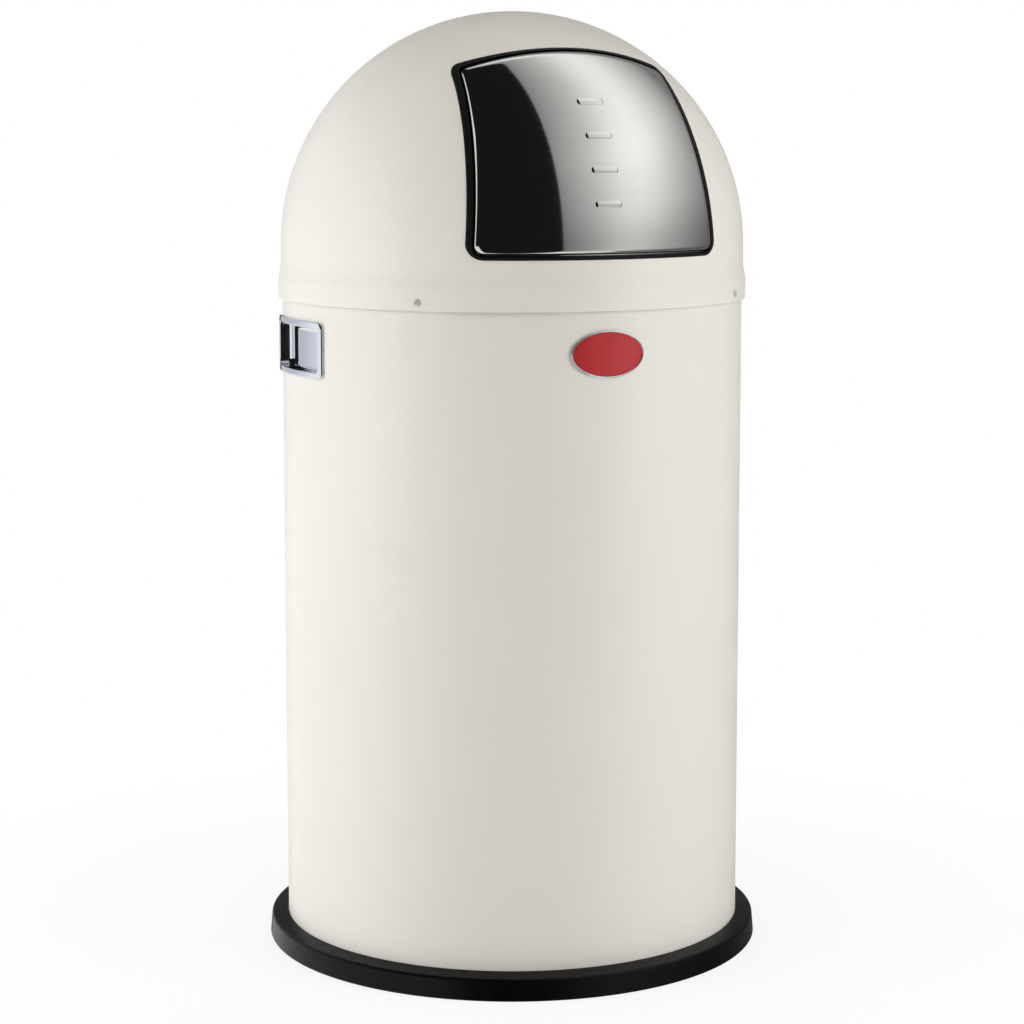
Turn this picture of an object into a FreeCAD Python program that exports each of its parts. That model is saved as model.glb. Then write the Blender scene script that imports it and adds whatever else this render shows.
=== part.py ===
import FreeCAD, Part
import math
import os
import re

import Sketcher

# Push-lid waste bin: a steel drum on a plastic base ring, a lift-off dome lid with a sprung push flap,
# and a galvanised liner with a wire bail.
# Frame: origin on the floor under the drum's axis, +Z up, the flap faces -Y, the grips face -X and +X.
# Lengths are in millimetres, sizes whose names end in angle, elevation or azimuth are in degrees.
sizes = {
    # drum
    "body_radius": 186.0,
    "sheet": 0.8,
    "rim_height": 529.0,
    "rim_width": 6.0,
    "rim_lip": 6.0,
    # base ring and base plate
    "ring_flare": 15.0,
    "ring_height": 20.0,
    "ring_sole": 3.0,
    "ring_foot": 14.0,
    "ring_slope": 3.0,
    "ring_draft": 1.2,
    "ring_round": 2.5,
    "ring_edge": 1.0,
    "ring_fit": 0.1,
    "ring_lip_gap": 3.0,
    "floor_height": 16.8,
    "floor_edge_gap": 3.8,
    "weld_gap": 0.05,
    # side grips and their spring clips
    "grip_length": 102.0,
    "grip_tall": 44.5,
    "grip_top_gap": 15.75,
    "grip_proud": 3.0,
    "grip_bar": 5.0,
    "grip_depth": 10.5,
    "grip_wall": 1.4,
    "grip_round": 5.0,
    "cup_round": 4.0,
    "window_fit": 0.2,
    "grip_clip_reach": 8.0,
    "grip_clip_sheet": 1.2,
    "grip_clip_gap": 0.2,
    # front badge
    "badge_drop": 35.0,
    "badge_width": 60.0,
    "badge_tall": 36.0,
    "badge_thick": 2.0,
    "stud_offset": 15.0,
    "stud_radius": 1.5,
    "stud_length": 8.0,
    "stud_fit": 0.2,
    "nut_radius": 4.5,
    "nut_thick": 1.0,
    # dome lid
    "dome_step": 1.0,
    "dome_lift": 39.0,
    "skirt_step": 2.0,
    "skirt_overlap": 2.5,
    "skirt_height": 16.5,
    "skirt_joggle": 2.0,
    # flap opening in the dome, seen from the front
    "opening_sill": -3.0,
    "opening_low_share": 0.558,
    "opening_high_share": 0.474,
    "opening_corner_share": 0.757,
    "opening_apex_share": 0.834,
    "opening_bow_share": 8.0,
    "opening_round": 12.0,
    # rubber trim on the opening's edge
    "trim_side": 4.4,
    "trim_bottom": 2.4,
    "trim_top": 1.8,
    "trim_cover_share": 0.55,
    "trim_lip": 1.0,
    "trim_fit": 0.05,
    # push flap
    "gap_side": 1.2,
    "gap_bottom": 2.2,
    "gap_top": 1.0,
    "flap_proud": 3.0,
    "flap_sheet": 0.8,
    "flap_round": 3.0,
    "flange_side": 7.0,
    "flange_bottom": 7.0,
    "flange_top": 3.5,
    "seat_gap": 0.35,
    "rib_first": 38.4,
    "rib_pitch": 25.4,
    "rib_length": 22.0,
    "rib_width": 5.0,
    "rib_rise": 0.7,
    # hinge, its depth taken under the dome at the brackets
    "hinge_depth": 11.42,
    "hinge_elevation": 63.0,
    "axle_radius": 3.0,
    "axle_end": 5.0,
    "axle_fit": 0.05,
    "ear_offset": 46.0,
    "ear_sheet": 2.0,
    "ear_eye": 8.5,
    "ear_neck": 6.0,
    "ear_reach": 90.0,
    "ear_front_top": 16.0,
    "ear_front_bottom": 2.0,
    "ear_foot": 12.0,
    "ear_foot_start": 30.0,
    "bush_wall": 2.0,
    "bush_flange": 1.6,
    "bush_flange_thick": 1.0,
    "bracket_offset": 62.0,
    "bracket_sheet": 2.0,
    "bracket_eye": 6.5,
    "bracket_front": 4.0,
    "bracket_back": 11.0,
    "bracket_foot": 12.0,
    "axle_clip_radius": 5.5,
    "axle_clip_thick": 0.8,
    "axle_clip_gap": 0.2,
    "axle_groove": 0.8,
    # flap springs
    "spring_wire": 1.4,
    "spring_clear": 0.9,
    "spring_pitch": 2.2,
    "spring_side_gap": 0.6,
    "spring_back_leg": 18.0,
    "spring_back_angle": 12.0,
    "spring_front_angle": 6.0,
    "spring_tip_gap": 0.2,
    # rim guides in the lid's skirt and their screws
    "guide_gap": 0.5,
    "guide_thick": 3.5,
    "guide_tongue": 14.0,
    "guide_angle": 9.0,
    "guide_top_gap": 1.0,
    "guide_fit": 0.1,
    "screw_rise": 4.0,
    "screw_radius": 1.75,
    "screw_head_radius": 2.75,
    "screw_head": 1.6,
    "screw_tip_gap": 1.5,
    "screw_fit": 0.05,
    "screw_azimuth": 45.0,
    # liner
    "liner_clear": 8.7,
    "liner_sheet": 0.6,
    "liner_drop": 21.0,
    "bead_radius": 2.5,
    "liner_foot": 8.0,
    "lug_half": 11.0,
    "lug_sheet": 2.0,
    "lug_low": 34.0,
    "rivet_rise": 7.0,
    "rivet_pitch": 12.0,
    "rivet_radius": 2.0,
    "rivet_head_radius": 4.0,
    "rivet_head": 1.2,
    "rivet_fit": 0.05,
    # bail
    "bail_wire": 2.5,
    "bail_rest_gap": 0.3,
    "bail_fit": 0.1,
    "bail_pin": 3.0,
    "bail_bend": 4.0,
    "bail_lug_gap": 0.4,
    "bail_head_radius": 4.0,
    "bail_head": 1.5,
    # length by which a cutting shape runs past what it cuts
    "overrun": 5.0,
}
rib_count = 4
spring_turns = 4
guide_count = 4
rivet_rows = 2

# Places and sizes that follow from the driving ones.
derived = {
    "body_inner": "body_radius - sheet",
    "rim_inner": "body_radius - rim_width",
    "ring_radius": "body_radius + ring_flare",
    "plate_radius": "body_inner - weld_gap",
    "grip_face": "body_radius + grip_proud",
    "grip_seat": "body_radius + weld_gap",
    "cup_floor": "grip_face - grip_depth",
    "cup_back": "cup_floor - grip_wall",
    "grip_centre": "rim_height - grip_top_gap - grip_tall / 2",
    "cup_half_length": "grip_length / 2 - grip_bar",
    "cup_half_tall": "grip_tall / 2 - grip_bar",
    "clip_outer": "body_inner - grip_clip_gap",
    "badge_centre": "rim_height - badge_drop",
    "stud_hole": "stud_radius + stud_fit",
    "nut_face": "sqrt(body_inner * body_inner - (stud_offset + nut_radius) * (stud_offset + nut_radius))",
    "dome_radius": "body_radius + dome_step",
    "dome_inner": "dome_radius - sheet",
    "dome_centre": "rim_height + dome_lift",
    "skirt_radius": "dome_radius + skirt_step",
    "skirt_bottom": "rim_height - skirt_overlap",
    "skirt_top": "skirt_bottom + skirt_height",
    "opening_rise": "(opening_apex_share - opening_corner_share) * dome_radius",
    "flap_face": "dome_radius + flap_proud",
    "flap_back": "flap_face - flap_sheet",
    "flange_outer": "dome_inner - trim_lip - seat_gap",
    "flange_inner": "flange_outer - flap_sheet",
    "flange_middle": "flange_outer - flap_sheet / 2",
    "hinge_radius": "sqrt(dome_radius * dome_radius - bracket_offset * bracket_offset) - hinge_depth",
    "hinge_forward": "hinge_radius * cos(hinge_elevation)",
    "hinge_height": "dome_centre + hinge_radius * sin(hinge_elevation)",
    "axle_bore": "axle_radius + axle_fit",
    "bush_radius": "axle_bore + bush_wall",
    "axle_clip_start": "bracket_offset + bracket_sheet + axle_clip_gap",
    "axle_half": "axle_clip_start + axle_clip_thick + axle_end",
    "guide_outer": "rim_inner - guide_gap",
    "guide_inner": "guide_outer - guide_thick",
    "guide_seat": "skirt_radius - sheet - guide_fit",
    "screw_height": "rim_height + screw_rise",
    "screw_hole": "screw_radius + screw_fit",
    "liner_radius": "cup_back - liner_clear - 2 * bead_radius + liner_sheet",
    "liner_inner": "liner_radius - liner_sheet",
    "bead_track": "liner_inner + bead_radius",
    "bead_top": "rim_height - liner_drop",
    "bead_height": "bead_top - bead_radius",
    "lug_face": "sqrt(liner_inner * liner_inner - lug_half * lug_half) - weld_gap",
    "lug_back": "lug_face - lug_sheet",
    "lug_bottom": "bead_top - lug_low",
    "bail_height": "bead_top + bail_rest_gap + bail_wire",
    "bail_eye": "bail_wire + bail_fit",
    "bail_straight": "lug_face + bail_lug_gap",
    "front_reach": "flap_face + overrun",
}

doc = FreeCAD.newDocument("push_lid_bin")
sheet_of_sizes = doc.addObject("Spreadsheet::Sheet", "Sizes")
for row, (alias, number) in enumerate(sizes.items(), start=1):
    sheet_of_sizes.set(f"A{row}", str(number))
    sheet_of_sizes.setAlias(f"A{row}", alias)
doc.recompute()
nodes = {}


def formula(text):
    # an expression in which each size's name has become its cell in the sheet
    def cell(match):
        word = match.group(0)
        if word in sizes:
            return "Sizes." + word
        if word in derived:
            return "(" + formula(derived[word]) + ")"
        return word
    return re.sub(r"[a-z]\w*", cell, text)


def value(text):
    return float(sheet_of_sizes.evalExpression(formula(text)))


def bind(item, **properties):
    # ties properties of an object to expressions in the named sizes
    for name, text in properties.items():
        item.setExpression(name.replace("__", "."), formula(text))
    return item


def node(name, item):
    item.Label = name
    nodes[name] = item
    return item


def new_body(name):
    return doc.addObject("PartDesign::Body", name)


def hinge_body(name):
    # a body whose own X axis is the flap's hinge axis and whose own Z axis points out through the dome
    body = new_body(name)
    turn = FreeCAD.Rotation(FreeCAD.Vector(1, 0, 0), 90 - value("hinge_elevation"))
    body.Placement = FreeCAD.Placement(FreeCAD.Vector(), turn)
    bind(body, Placement__Base__y="-hinge_forward", Placement__Base__z="hinge_height",
         Placement__Rotation__Angle="90 - hinge_elevation")
    return body


def origin(body, role):
    return next(item for item in body.Origin.OriginFeatures if item.Role == role)


def new_sketch(body, name, plane, offset="0"):
    sketch = body.newObject("Sketcher::SketchObject", name)
    sketch.AttachmentSupport = [(origin(body, plane), "")]
    sketch.MapMode = "FlatFace"
    bind(sketch, AttachmentOffset__Base__z=offset)
    return sketch


def dimension(sketch, kind, where, text):
    number = sketch.addConstraint(Sketcher.Constraint(kind, *where, value(text)))
    sketch.setExpression(f"Constraints[{number}]", formula(text))


def arc_edge(start, end, radius, side):
    # arc of under a half circle, whose centre lies left (side 1) or right (side -1) of the way to end
    chord = end - start
    half = chord.Length / 2
    left = FreeCAD.Vector(-chord.y, chord.x, 0).normalize()
    centre = (start + end) / 2 + left * (side * math.sqrt(radius ** 2 - half ** 2))
    first, last = (start, end) if side > 0 else (end, start)
    angles = [math.atan2(point.y - centre.y, point.x - centre.x) for point in (first, last)]
    circle = Part.Circle(centre, FreeCAD.Vector(0, 0, 1), radius)
    return Part.ArcOfCircle(circle, *angles)


def draw(sketch, points, arcs=None):
    # closed outline through the points, straight but for the edges in arcs: {edge: (radius, side)}
    arcs = arcs or {}
    first = sketch.GeometryCount
    count = len(points)
    corners = [FreeCAD.Vector(value(across), value(up), 0) for across, up in points]
    starts, ends = {}, {}
    for edge in range(count):
        start, end = corners[edge], corners[(edge + 1) % count]
        if edge in arcs:
            radius, side = arcs[edge]
            sketch.addGeometry(arc_edge(start, end, value(radius), side))
            starts[edge], ends[edge] = (1, 2) if side > 0 else (2, 1)
        else:
            sketch.addGeometry(Part.LineSegment(start, end))
            starts[edge], ends[edge] = 1, 2
    for edge in range(count):
        after = (edge + 1) % count
        where = (first + edge, ends[edge], first + after, starts[after])
        sketch.addConstraint(Sketcher.Constraint("Coincident", *where))
    for edge, (across, up) in enumerate(points):
        dimension(sketch, "DistanceX", (-1, 1, first + edge, starts[edge]), across)
        dimension(sketch, "DistanceY", (-1, 1, first + edge, starts[edge]), up)
    for edge, (radius, _) in arcs.items():
        dimension(sketch, "Radius", (first + edge,), radius)
    return sketch


def draw_circle(sketch, across, up, radius):
    centre = FreeCAD.Vector(value(across), value(up), 0)
    circle = sketch.addGeometry(Part.Circle(centre, FreeCAD.Vector(0, 0, 1), value(radius)))
    dimension(sketch, "DistanceX", (-1, 1, circle, 3), across)
    dimension(sketch, "DistanceY", (-1, 1, circle, 3), up)
    dimension(sketch, "Radius", (circle,), radius)
    return sketch


def draw_rounded(sketch, half_width, low, high, rounding):
    # upright rectangle, centred across, with round corners
    inside = f"{half_width} - ({rounding})"
    points = [
        (f"-({inside})", low), (inside, low),
        (half_width, f"{low} + ({rounding})"), (half_width, f"{high} - ({rounding})"),
        (inside, high), (f"-({inside})", high),
        (f"-({half_width})", f"{high} - ({rounding})"), (f"-({half_width})", f"{low} + ({rounding})"),
    ]
    return draw(sketch, points, {corner: (rounding, 1) for corner in (1, 3, 5, 7)})


def feature(body, kind, name, sketch, **properties):
    item = body.newObject("PartDesign::" + kind, name)
    item.Profile = sketch
    return bind(item, **properties)


def pad(body, name, sketch, length):
    return feature(body, "Pad", name, sketch, Length=length)


def revolve(body, name, sketch, axis="V_Axis"):
    turned = feature(body, "Revolution", name, sketch)
    turned.ReferenceAxis = (sketch, [axis])
    turned.Angle = 360
    return turned


def pierce(body, name, sketch):
    # cuts the sketch through everything, to both sides of its plane
    doc.recompute()
    before = body.Shape.Volume
    cut_through = feature(body, "Pocket", name, sketch)
    cut_through.Type = "ThroughAll"
    cut_through.SideType = "Symmetric"
    doc.recompute()
    if not body.Shape.Volume < before:
        raise ValueError(name + " cuts nothing")
    return cut_through


def turned_body(name, points, arcs=None):
    body = new_body(name)
    sketch = draw(new_sketch(body, name + "_profile", "XZ_Plane"), points, arcs)
    revolve(body, name + "_turned", sketch)
    return body


def drum(name, radius):
    # solid cylinder on the drum's axis, from the floor past the rim
    return bind(doc.addObject("Part::Cylinder", name), Radius=radius, Height="rim_height + overrun")


def ball(name, radius):
    # solid sphere about the dome's centre
    return bind(doc.addObject("Part::Sphere", name), Radius=radius, Placement__Base__z="dome_centre")


def rod(name, radius, length, direction, x="0", y="0", z="0"):
    item = doc.addObject("Part::Cylinder", name)
    turn = FreeCAD.Rotation(FreeCAD.Vector(0, 0, 1), FreeCAD.Vector(*direction))
    item.Placement = FreeCAD.Placement(FreeCAD.Vector(), turn)
    return bind(item, Radius=radius, Height=length,
                Placement__Base__x=x, Placement__Base__y=y, Placement__Base__z=z)


def cut(name, base, tool):
    item = doc.addObject("Part::Cut", name)
    item.Base = base
    item.Tool = tool
    return item


def fuse(name, items):
    item = doc.addObject("Part::MultiFuse", name)
    item.Shapes = items
    return item


def common(name, items):
    item = doc.addObject("Part::MultiCommon", name)
    item.Shapes = items
    return item


def group(name, items):
    item = doc.addObject("Part::Compound", name)
    item.Links = items
    return item


def mirrored(name, source):
    # the same piece on the other side of the middle plane
    item = doc.addObject("Part::Mirroring", name)
    item.Source = source
    item.Normal = FreeCAD.Vector(1, 0, 0)
    return item


def side_block(name, margin, rounding):
    # prism towards +X with the outline of the grip's cup, grown by a margin
    body = new_body(name)
    sketch = new_sketch(body, name + "_outline", "YZ_Plane")
    half_tall = f"(cup_half_tall + {margin})"
    draw_rounded(sketch, f"(cup_half_length + {margin})", f"grip_centre - {half_tall}",
                 f"grip_centre + {half_tall}", rounding)
    pad(body, name + "_prism", sketch, "grip_face + overrun")
    return body


def front_block(name, side, bottom, top):
    # prism towards -Y with the flap opening's outline, drawn in by these widths
    low_half = f"opening_low_share * dome_radius - ({side})"
    high_half = f"opening_high_share * dome_radius - ({side})"
    low = f"dome_centre + opening_sill + {bottom}"
    high = f"dome_centre + opening_corner_share * dome_radius - ({top})"
    arch = f"(opening_rise * opening_rise + ({high_half}) * ({high_half})) / (2 * opening_rise)"
    bow = "opening_bow_share * dome_radius"
    points = [(f"-({low_half})", low), (low_half, low), (high_half, high), (f"-({high_half})", high)]
    body = new_body(name)
    sketch = draw(new_sketch(body, name + "_outline", "XZ_Plane"), points,
                  {1: (bow, 1), 2: (arch, 1), 3: (bow, 1)})
    prism = pad(body, name + "_prism", sketch, "front_reach")
    doc.recompute()
    corners = [f"Edge{number}" for number, edge in enumerate(prism.Shape.Edges, start=1)
               if abs(edge.tangentAt(edge.FirstParameter).y) == 1]
    rounded = body.newObject("PartDesign::Fillet", name + "_corners")
    rounded.Base = (prism, corners)
    bind(rounded, Radius=f"opening_round - ({side})")
    return body


def shell(name, outer, inner):
    # hollow ball about the dome's centre
    return cut(name, ball(name + "_outer", outer), ball(name + "_inner", inner))


def rounded_plug(name, radius, block, rounding):
    # what a block cuts out of a ball, with its front edge rounded
    plug = common(name + "_plug", [ball(name + "_ball", radius), block])
    doc.recompute()
    centre = FreeCAD.Vector(0, 0, value("dome_centre"))
    reach = value(radius)
    front = [number for number, edge in enumerate(plug.Shape.Edges, start=1)
             if all(math.isclose(point.distanceToPoint(centre), reach, rel_tol=1e-6)
                    for point in edge.discretize(Number=3))]
    item = doc.addObject("Part::Fillet", name)
    item.Base = plug
    item.Edges = [(number, value(rounding), value(rounding)) for number in front]
    return item


def biarc(start, start_way, end, end_way):
    # two arcs that meet smoothly, from a point and direction to a point and direction
    across = end - start
    both = start_way + end_way
    spread = 2 * (1 - start_way.dot(end_way))
    reach = across.dot(both)
    step = (math.sqrt(reach ** 2 + spread * across.dot(across)) - reach) / spread
    corners = [start + start_way * step, end - end_way * step]
    middle = (corners[0] + corners[1]) / 2
    edges = []
    for first, corner, last in ((start, corners[0], middle), (middle, corners[1], end)):
        chord_middle = (first + last) / 2
        height = corner - chord_middle
        half_turn = math.asin(height.Length / step)
        radius = (last - first).Length / 2 / math.sin(half_turn)
        bulge = chord_middle + height * (radius * (1 - math.cos(half_turn)) / height.Length)
        edges.append(Part.Arc(first, bulge, last).toShape())
    return edges


# Drum

body_blank = turned_body("body_blank", [
    ("body_radius", "ring_sole"), ("body_radius", "rim_height"),
    ("rim_inner", "rim_height"), ("rim_inner", "rim_height - rim_lip"),
    ("rim_inner + sheet", "rim_height - rim_lip"), ("rim_inner + sheet", "rim_height - sheet"),
    ("body_inner", "rim_height - sheet"), ("body_inner", "ring_sole"),
])
window = side_block("window", "grip_wall + window_fit", "cup_round + grip_wall + window_fit")
stud_holes = [
    rod(f"stud_hole_{side}", "stud_hole", "ring_foot + overrun", (0, -1, 0), x=across,
        y="ring_foot - body_radius", z="badge_centre")
    for side, across in (("left", "-stud_offset"), ("right", "stud_offset"))
]
body_cutters = fuse("body_cutters", [window, mirrored("window_left", window)] + stud_holes)
node("body_shell", cut("body_cut", body_blank, body_cutters))

node("base_plate", turned_body("base_plate", [
    ("0", "floor_height"), ("plate_radius", "floor_height"),
    ("plate_radius", "ring_sole + floor_edge_gap"), ("plate_radius - sheet", "ring_sole + floor_edge_gap"),
    ("plate_radius - sheet", "floor_height - sheet"), ("0", "floor_height - sheet"),
]))

# the ring's groove takes the drum's lower edge with the base plate's flange inside it
shoulder = "ring_height - ring_slope"
groove_inner = "plate_radius - sheet - ring_fit"
ring_lip_top = "floor_height - sheet - ring_lip_gap"
node("base_ring", turned_body("base_ring", [
    ("body_radius - ring_foot", "0"), ("ring_radius - ring_edge", "0"), ("ring_radius", "ring_edge"),
    ("ring_radius - ring_draft", f"{shoulder} - ring_round"),
    ("ring_radius - ring_draft - ring_round", shoulder),
    ("body_radius + ring_fit", "ring_height"), ("body_radius + ring_fit", "ring_sole"),
    (groove_inner, "ring_sole"), (groove_inner, ring_lip_top), ("body_radius - ring_foot", ring_lip_top),
], {3: ("ring_round", 1)}))

# Side grips: a proud frame and a cup in one casting, held by a spring frame pressed over the cup inside

grip_frame = cut("grip_frame", common("grip_frame_full", [
    drum("grip_front", "grip_face"), side_block("grip_block", "grip_bar", "grip_round"),
]), drum("grip_back", "grip_seat"))
cup_full = cut("cup_full", common("cup_plug", [
    drum("cup_front", "grip_face"), side_block("cup_block", "grip_wall", "cup_round + grip_wall"),
]), drum("cup_behind", "cup_back"))
cup_space = cut("cup_space", side_block("cup_hollow", "0", "cup_round"), drum("cup_bottom", "cup_floor"))
right_grip = cut("grip_cut", fuse("grip_full", [grip_frame, cup_full]), cup_space)
node("right_grip", right_grip)
node("left_grip", mirrored("grip_mirror", right_grip))

clip_sheet_full = cut("clip_sheet_full", drum("clip_front", "clip_outer"),
                      drum("clip_behind", "clip_outer - grip_clip_sheet"))
right_clip = cut("clip_cut", common("clip_full", [
    clip_sheet_full, side_block("clip_block", "grip_wall + grip_clip_reach", "grip_round"),
]), side_block("clip_hole", "grip_wall + window_fit", "cup_round + grip_wall + window_fit"))
node("right_grip_clip", right_clip)
node("left_grip_clip", mirrored("clip_mirror", right_clip))

# Front badge: an oval plate on two studs, held by push nuts inside the drum

oval = doc.addObject("Part::Ellipse", "badge_oval")
oval.Placement = FreeCAD.Placement(FreeCAD.Vector(), FreeCAD.Rotation(FreeCAD.Vector(1, 0, 0), 90))
bind(oval, MajorRadius="badge_width / 2", MinorRadius="badge_tall / 2", Placement__Base__z="badge_centre")
badge_prism = doc.addObject("Part::Extrusion", "badge_prism")
badge_prism.Base = oval
badge_prism.DirMode = "Custom"
badge_prism.Dir = FreeCAD.Vector(0, -1, 0)
badge_prism.Solid = True
bind(badge_prism, LengthFwd="front_reach")
badge_plate = cut("badge_plate", common("badge_full", [
    badge_prism, drum("badge_front", "body_radius + badge_thick"),
]), drum("badge_back", "grip_seat"))
studs, nuts = [], []
for side, across in (("left", "-stud_offset"), ("right", "stud_offset")):
    studs.append(rod(f"stud_{side}", "stud_radius", "stud_length", (0, 1, 0), x=across,
                     y="-body_radius", z="badge_centre"))
    nut_disc = rod(f"nut_disc_{side}", "nut_radius", "nut_thick", (0, 1, 0), x=across,
                   y="weld_gap - nut_face", z="badge_centre")
    nut_hole = rod(f"nut_hole_{side}", "stud_radius + weld_gap", "stud_length", (0, 1, 0), x=across,
                   y="-body_radius", z="badge_centre")
    nuts.append(cut(f"nut_{side}", nut_disc, nut_hole))
node("front_badge", fuse("badge_whole", [badge_plate] + studs))
node("badge_clips", group("badge_nuts", nuts))

# Dome lid

joggle_top = "skirt_top + skirt_joggle"
dome_blank = turned_body("dome_blank", [
    ("skirt_radius", "skirt_bottom"), ("skirt_radius", "skirt_top"), ("dome_radius", joggle_top),
    ("dome_radius", "dome_centre"), ("0", "dome_centre + dome_radius"),
    ("0", "dome_centre + dome_inner"), ("dome_inner", "dome_centre"),
    ("dome_inner", f"{joggle_top} - sheet / 2"), ("skirt_radius - sheet", "skirt_top - sheet / 2"),
    ("skirt_radius - sheet", "skirt_bottom"),
], {3: ("dome_radius", 1), 5: ("dome_inner", -1)})
cover = "trim_cover_share"
sheet_edge = front_block("sheet_edge", f"{cover} * trim_side", f"{cover} * trim_bottom",
                         f"{cover} * trim_top")
skirt_holes = []
for number in range(guide_count // 2):
    turn = value("screw_azimuth") + number * 360 / guide_count
    way = (math.cos(math.radians(turn)), math.sin(math.radians(turn)), 0)
    hole_half = [f"({share:.12f}) * (skirt_radius + overrun)" for share in way]
    skirt_holes.append(rod(f"skirt_hole_{number}", "screw_hole", "2 * (skirt_radius + overrun)", way,
                           x=f"-{hole_half[0]}", y=f"-{hole_half[1]}", z="screw_height"))
node("dome_shell", cut("dome_cut", dome_blank, fuse("dome_cutters", [sheet_edge] + skirt_holes)))

# Rubber trim: a channel pressed over the opening's edge

trim_hole = front_block("trim_hole", "trim_side", "trim_bottom", "trim_top")
trim_full = common("trim_full", [
    shell("trim_shell", "dome_radius + trim_lip", "dome_inner - trim_lip"),
    cut("trim_frame", front_block("trim_edge", "0", "0", "0"), trim_hole),
])
trim_slot = cut("trim_slot", shell("trim_gap", "dome_radius + trim_fit", "dome_inner - trim_fit"),
                front_block("trim_web", f"{cover} * trim_side + trim_fit",
                            f"{cover} * trim_bottom + trim_fit", f"{cover} * trim_top + trim_fit"))
node("opening_trim", cut("trim_cut", trim_full, trim_slot))

# Push flap: a pressed sheet with a rounded edge, a wall through the opening and a flange behind the trim

flap_side, flap_bottom, flap_top = "trim_side + gap_side", "trim_bottom + gap_bottom", "trim_top + gap_top"
flap_outline = front_block("flap_outline", flap_side, flap_bottom, flap_top)
flap_hollow = front_block("flap_hollow", f"{flap_side} + flap_sheet", f"{flap_bottom} + flap_sheet",
                          f"{flap_top} + flap_sheet")
flap_skin = cut("flap_skin", rounded_plug("flap_outside", "flap_face", flap_outline, "flap_round"),
                rounded_plug("flap_inside", "flap_back", flap_hollow, "flap_round - flap_sheet"))
flap_tray = cut("flap_tray", flap_skin, ball("flap_clearance", "flange_middle"))
flange_outline = front_block("flange_outline", f"{flap_side} - flange_side",
                             f"{flap_bottom} - flange_bottom", f"{flap_top} - flange_top")
flap_flange = common("flap_flange", [
    shell("flange_shell", "flange_outer", "flange_inner"), cut("flange_frame", flange_outline, flap_hollow),
])
rib_body = new_body("rib_prisms")
rib_sketch = new_sketch(rib_body, "rib_outlines", "XZ_Plane")
for number in range(rib_count):
    middle = f"dome_centre + rib_first + {number} * rib_pitch"
    straight, half = "(rib_length - rib_width) / 2", "rib_width / 2"
    draw(rib_sketch, [
        (f"-{straight}", f"{middle} - {half}"), (straight, f"{middle} - {half}"),
        (f"{straight} + {half}", middle), (straight, f"{middle} + {half}"),
        (f"-{straight}", f"{middle} + {half}"), (f"-{straight} - {half}", middle),
    ], {edge: (half, 1) for edge in (1, 2, 4, 5)})
pad(rib_body, "rib_pads", rib_sketch, "front_reach")
ribs = common("ribs", [
    shell("rib_shell", "flap_face + rib_rise", "flap_face - flap_sheet / 2"), rib_body,
])
node("flap_panel", fuse("flap_whole", [flap_tray, flap_flange, ribs]))

# Hinge: ears on the flap turn on bushes round an axle, which two brackets hold inside the dome

ear_body = hinge_body("ear_plate")
ear_sketch = new_sketch(ear_body, "ear_outline", "YZ_Plane", "ear_offset")
draw(ear_sketch, [("0", "-ear_neck"), ("0", "ear_neck"), ("-ear_reach", "ear_front_top"),
                  ("-ear_reach", "ear_front_bottom")])
pad(ear_body, "ear_arm", ear_sketch, "ear_sheet")
eye_sketch = new_sketch(ear_body, "ear_eye_circle", "YZ_Plane", "ear_offset")
pad(ear_body, "ear_eye_disc", draw_circle(eye_sketch, "0", "0", "ear_eye"), "ear_sheet")
bore_sketch = new_sketch(ear_body, "ear_bore_circle", "YZ_Plane", "ear_offset")
pierce(ear_body, "ear_bore", draw_circle(bore_sketch, "0", "0", "bush_radius + weld_gap"))
foot_body = hinge_body("ear_foot_block")
foot_sketch = new_sketch(foot_body, "ear_foot_outline", "YZ_Plane", "ear_offset - ear_foot")
draw(foot_sketch, [("-ear_reach", "ear_front_bottom"), ("-ear_foot_start", "ear_front_bottom"),
                   ("-ear_foot_start", "ear_front_top"), ("-ear_reach", "ear_front_top")])
pad(foot_body, "ear_foot_prism", foot_sketch, "ear_foot + ear_sheet")
ear_arm = common("ear_arm_trimmed", [ear_body, ball("ear_limit", "flap_back - weld_gap")])
ear_foot = common("ear_foot", [
    foot_body, shell("ear_foot_shell", "flap_back - weld_gap", "flap_back - weld_gap - ear_sheet"),
])
right_ear = fuse("ear_whole", [ear_arm, ear_foot])
node("right_flap_ear", right_ear)
node("left_flap_ear", mirrored("ear_mirror", right_ear))

bush_body = hinge_body("bush")
bush_end = "ear_offset + ear_sheet + bush_flange_thick"
bush_sketch = draw(new_sketch(bush_body, "bush_profile", "XZ_Plane"), [
    ("ear_offset", "axle_bore"), (bush_end, "axle_bore"), (bush_end, "bush_radius + bush_flange"),
    ("ear_offset + ear_sheet", "bush_radius + bush_flange"), ("ear_offset + ear_sheet", "bush_radius"),
    ("ear_offset", "bush_radius"),
])
revolve(bush_body, "bush_turned", bush_sketch, "H_Axis")
node("right_ear_bush", bush_body)
node("left_ear_bush", mirrored("bush_mirror", bush_body))

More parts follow.
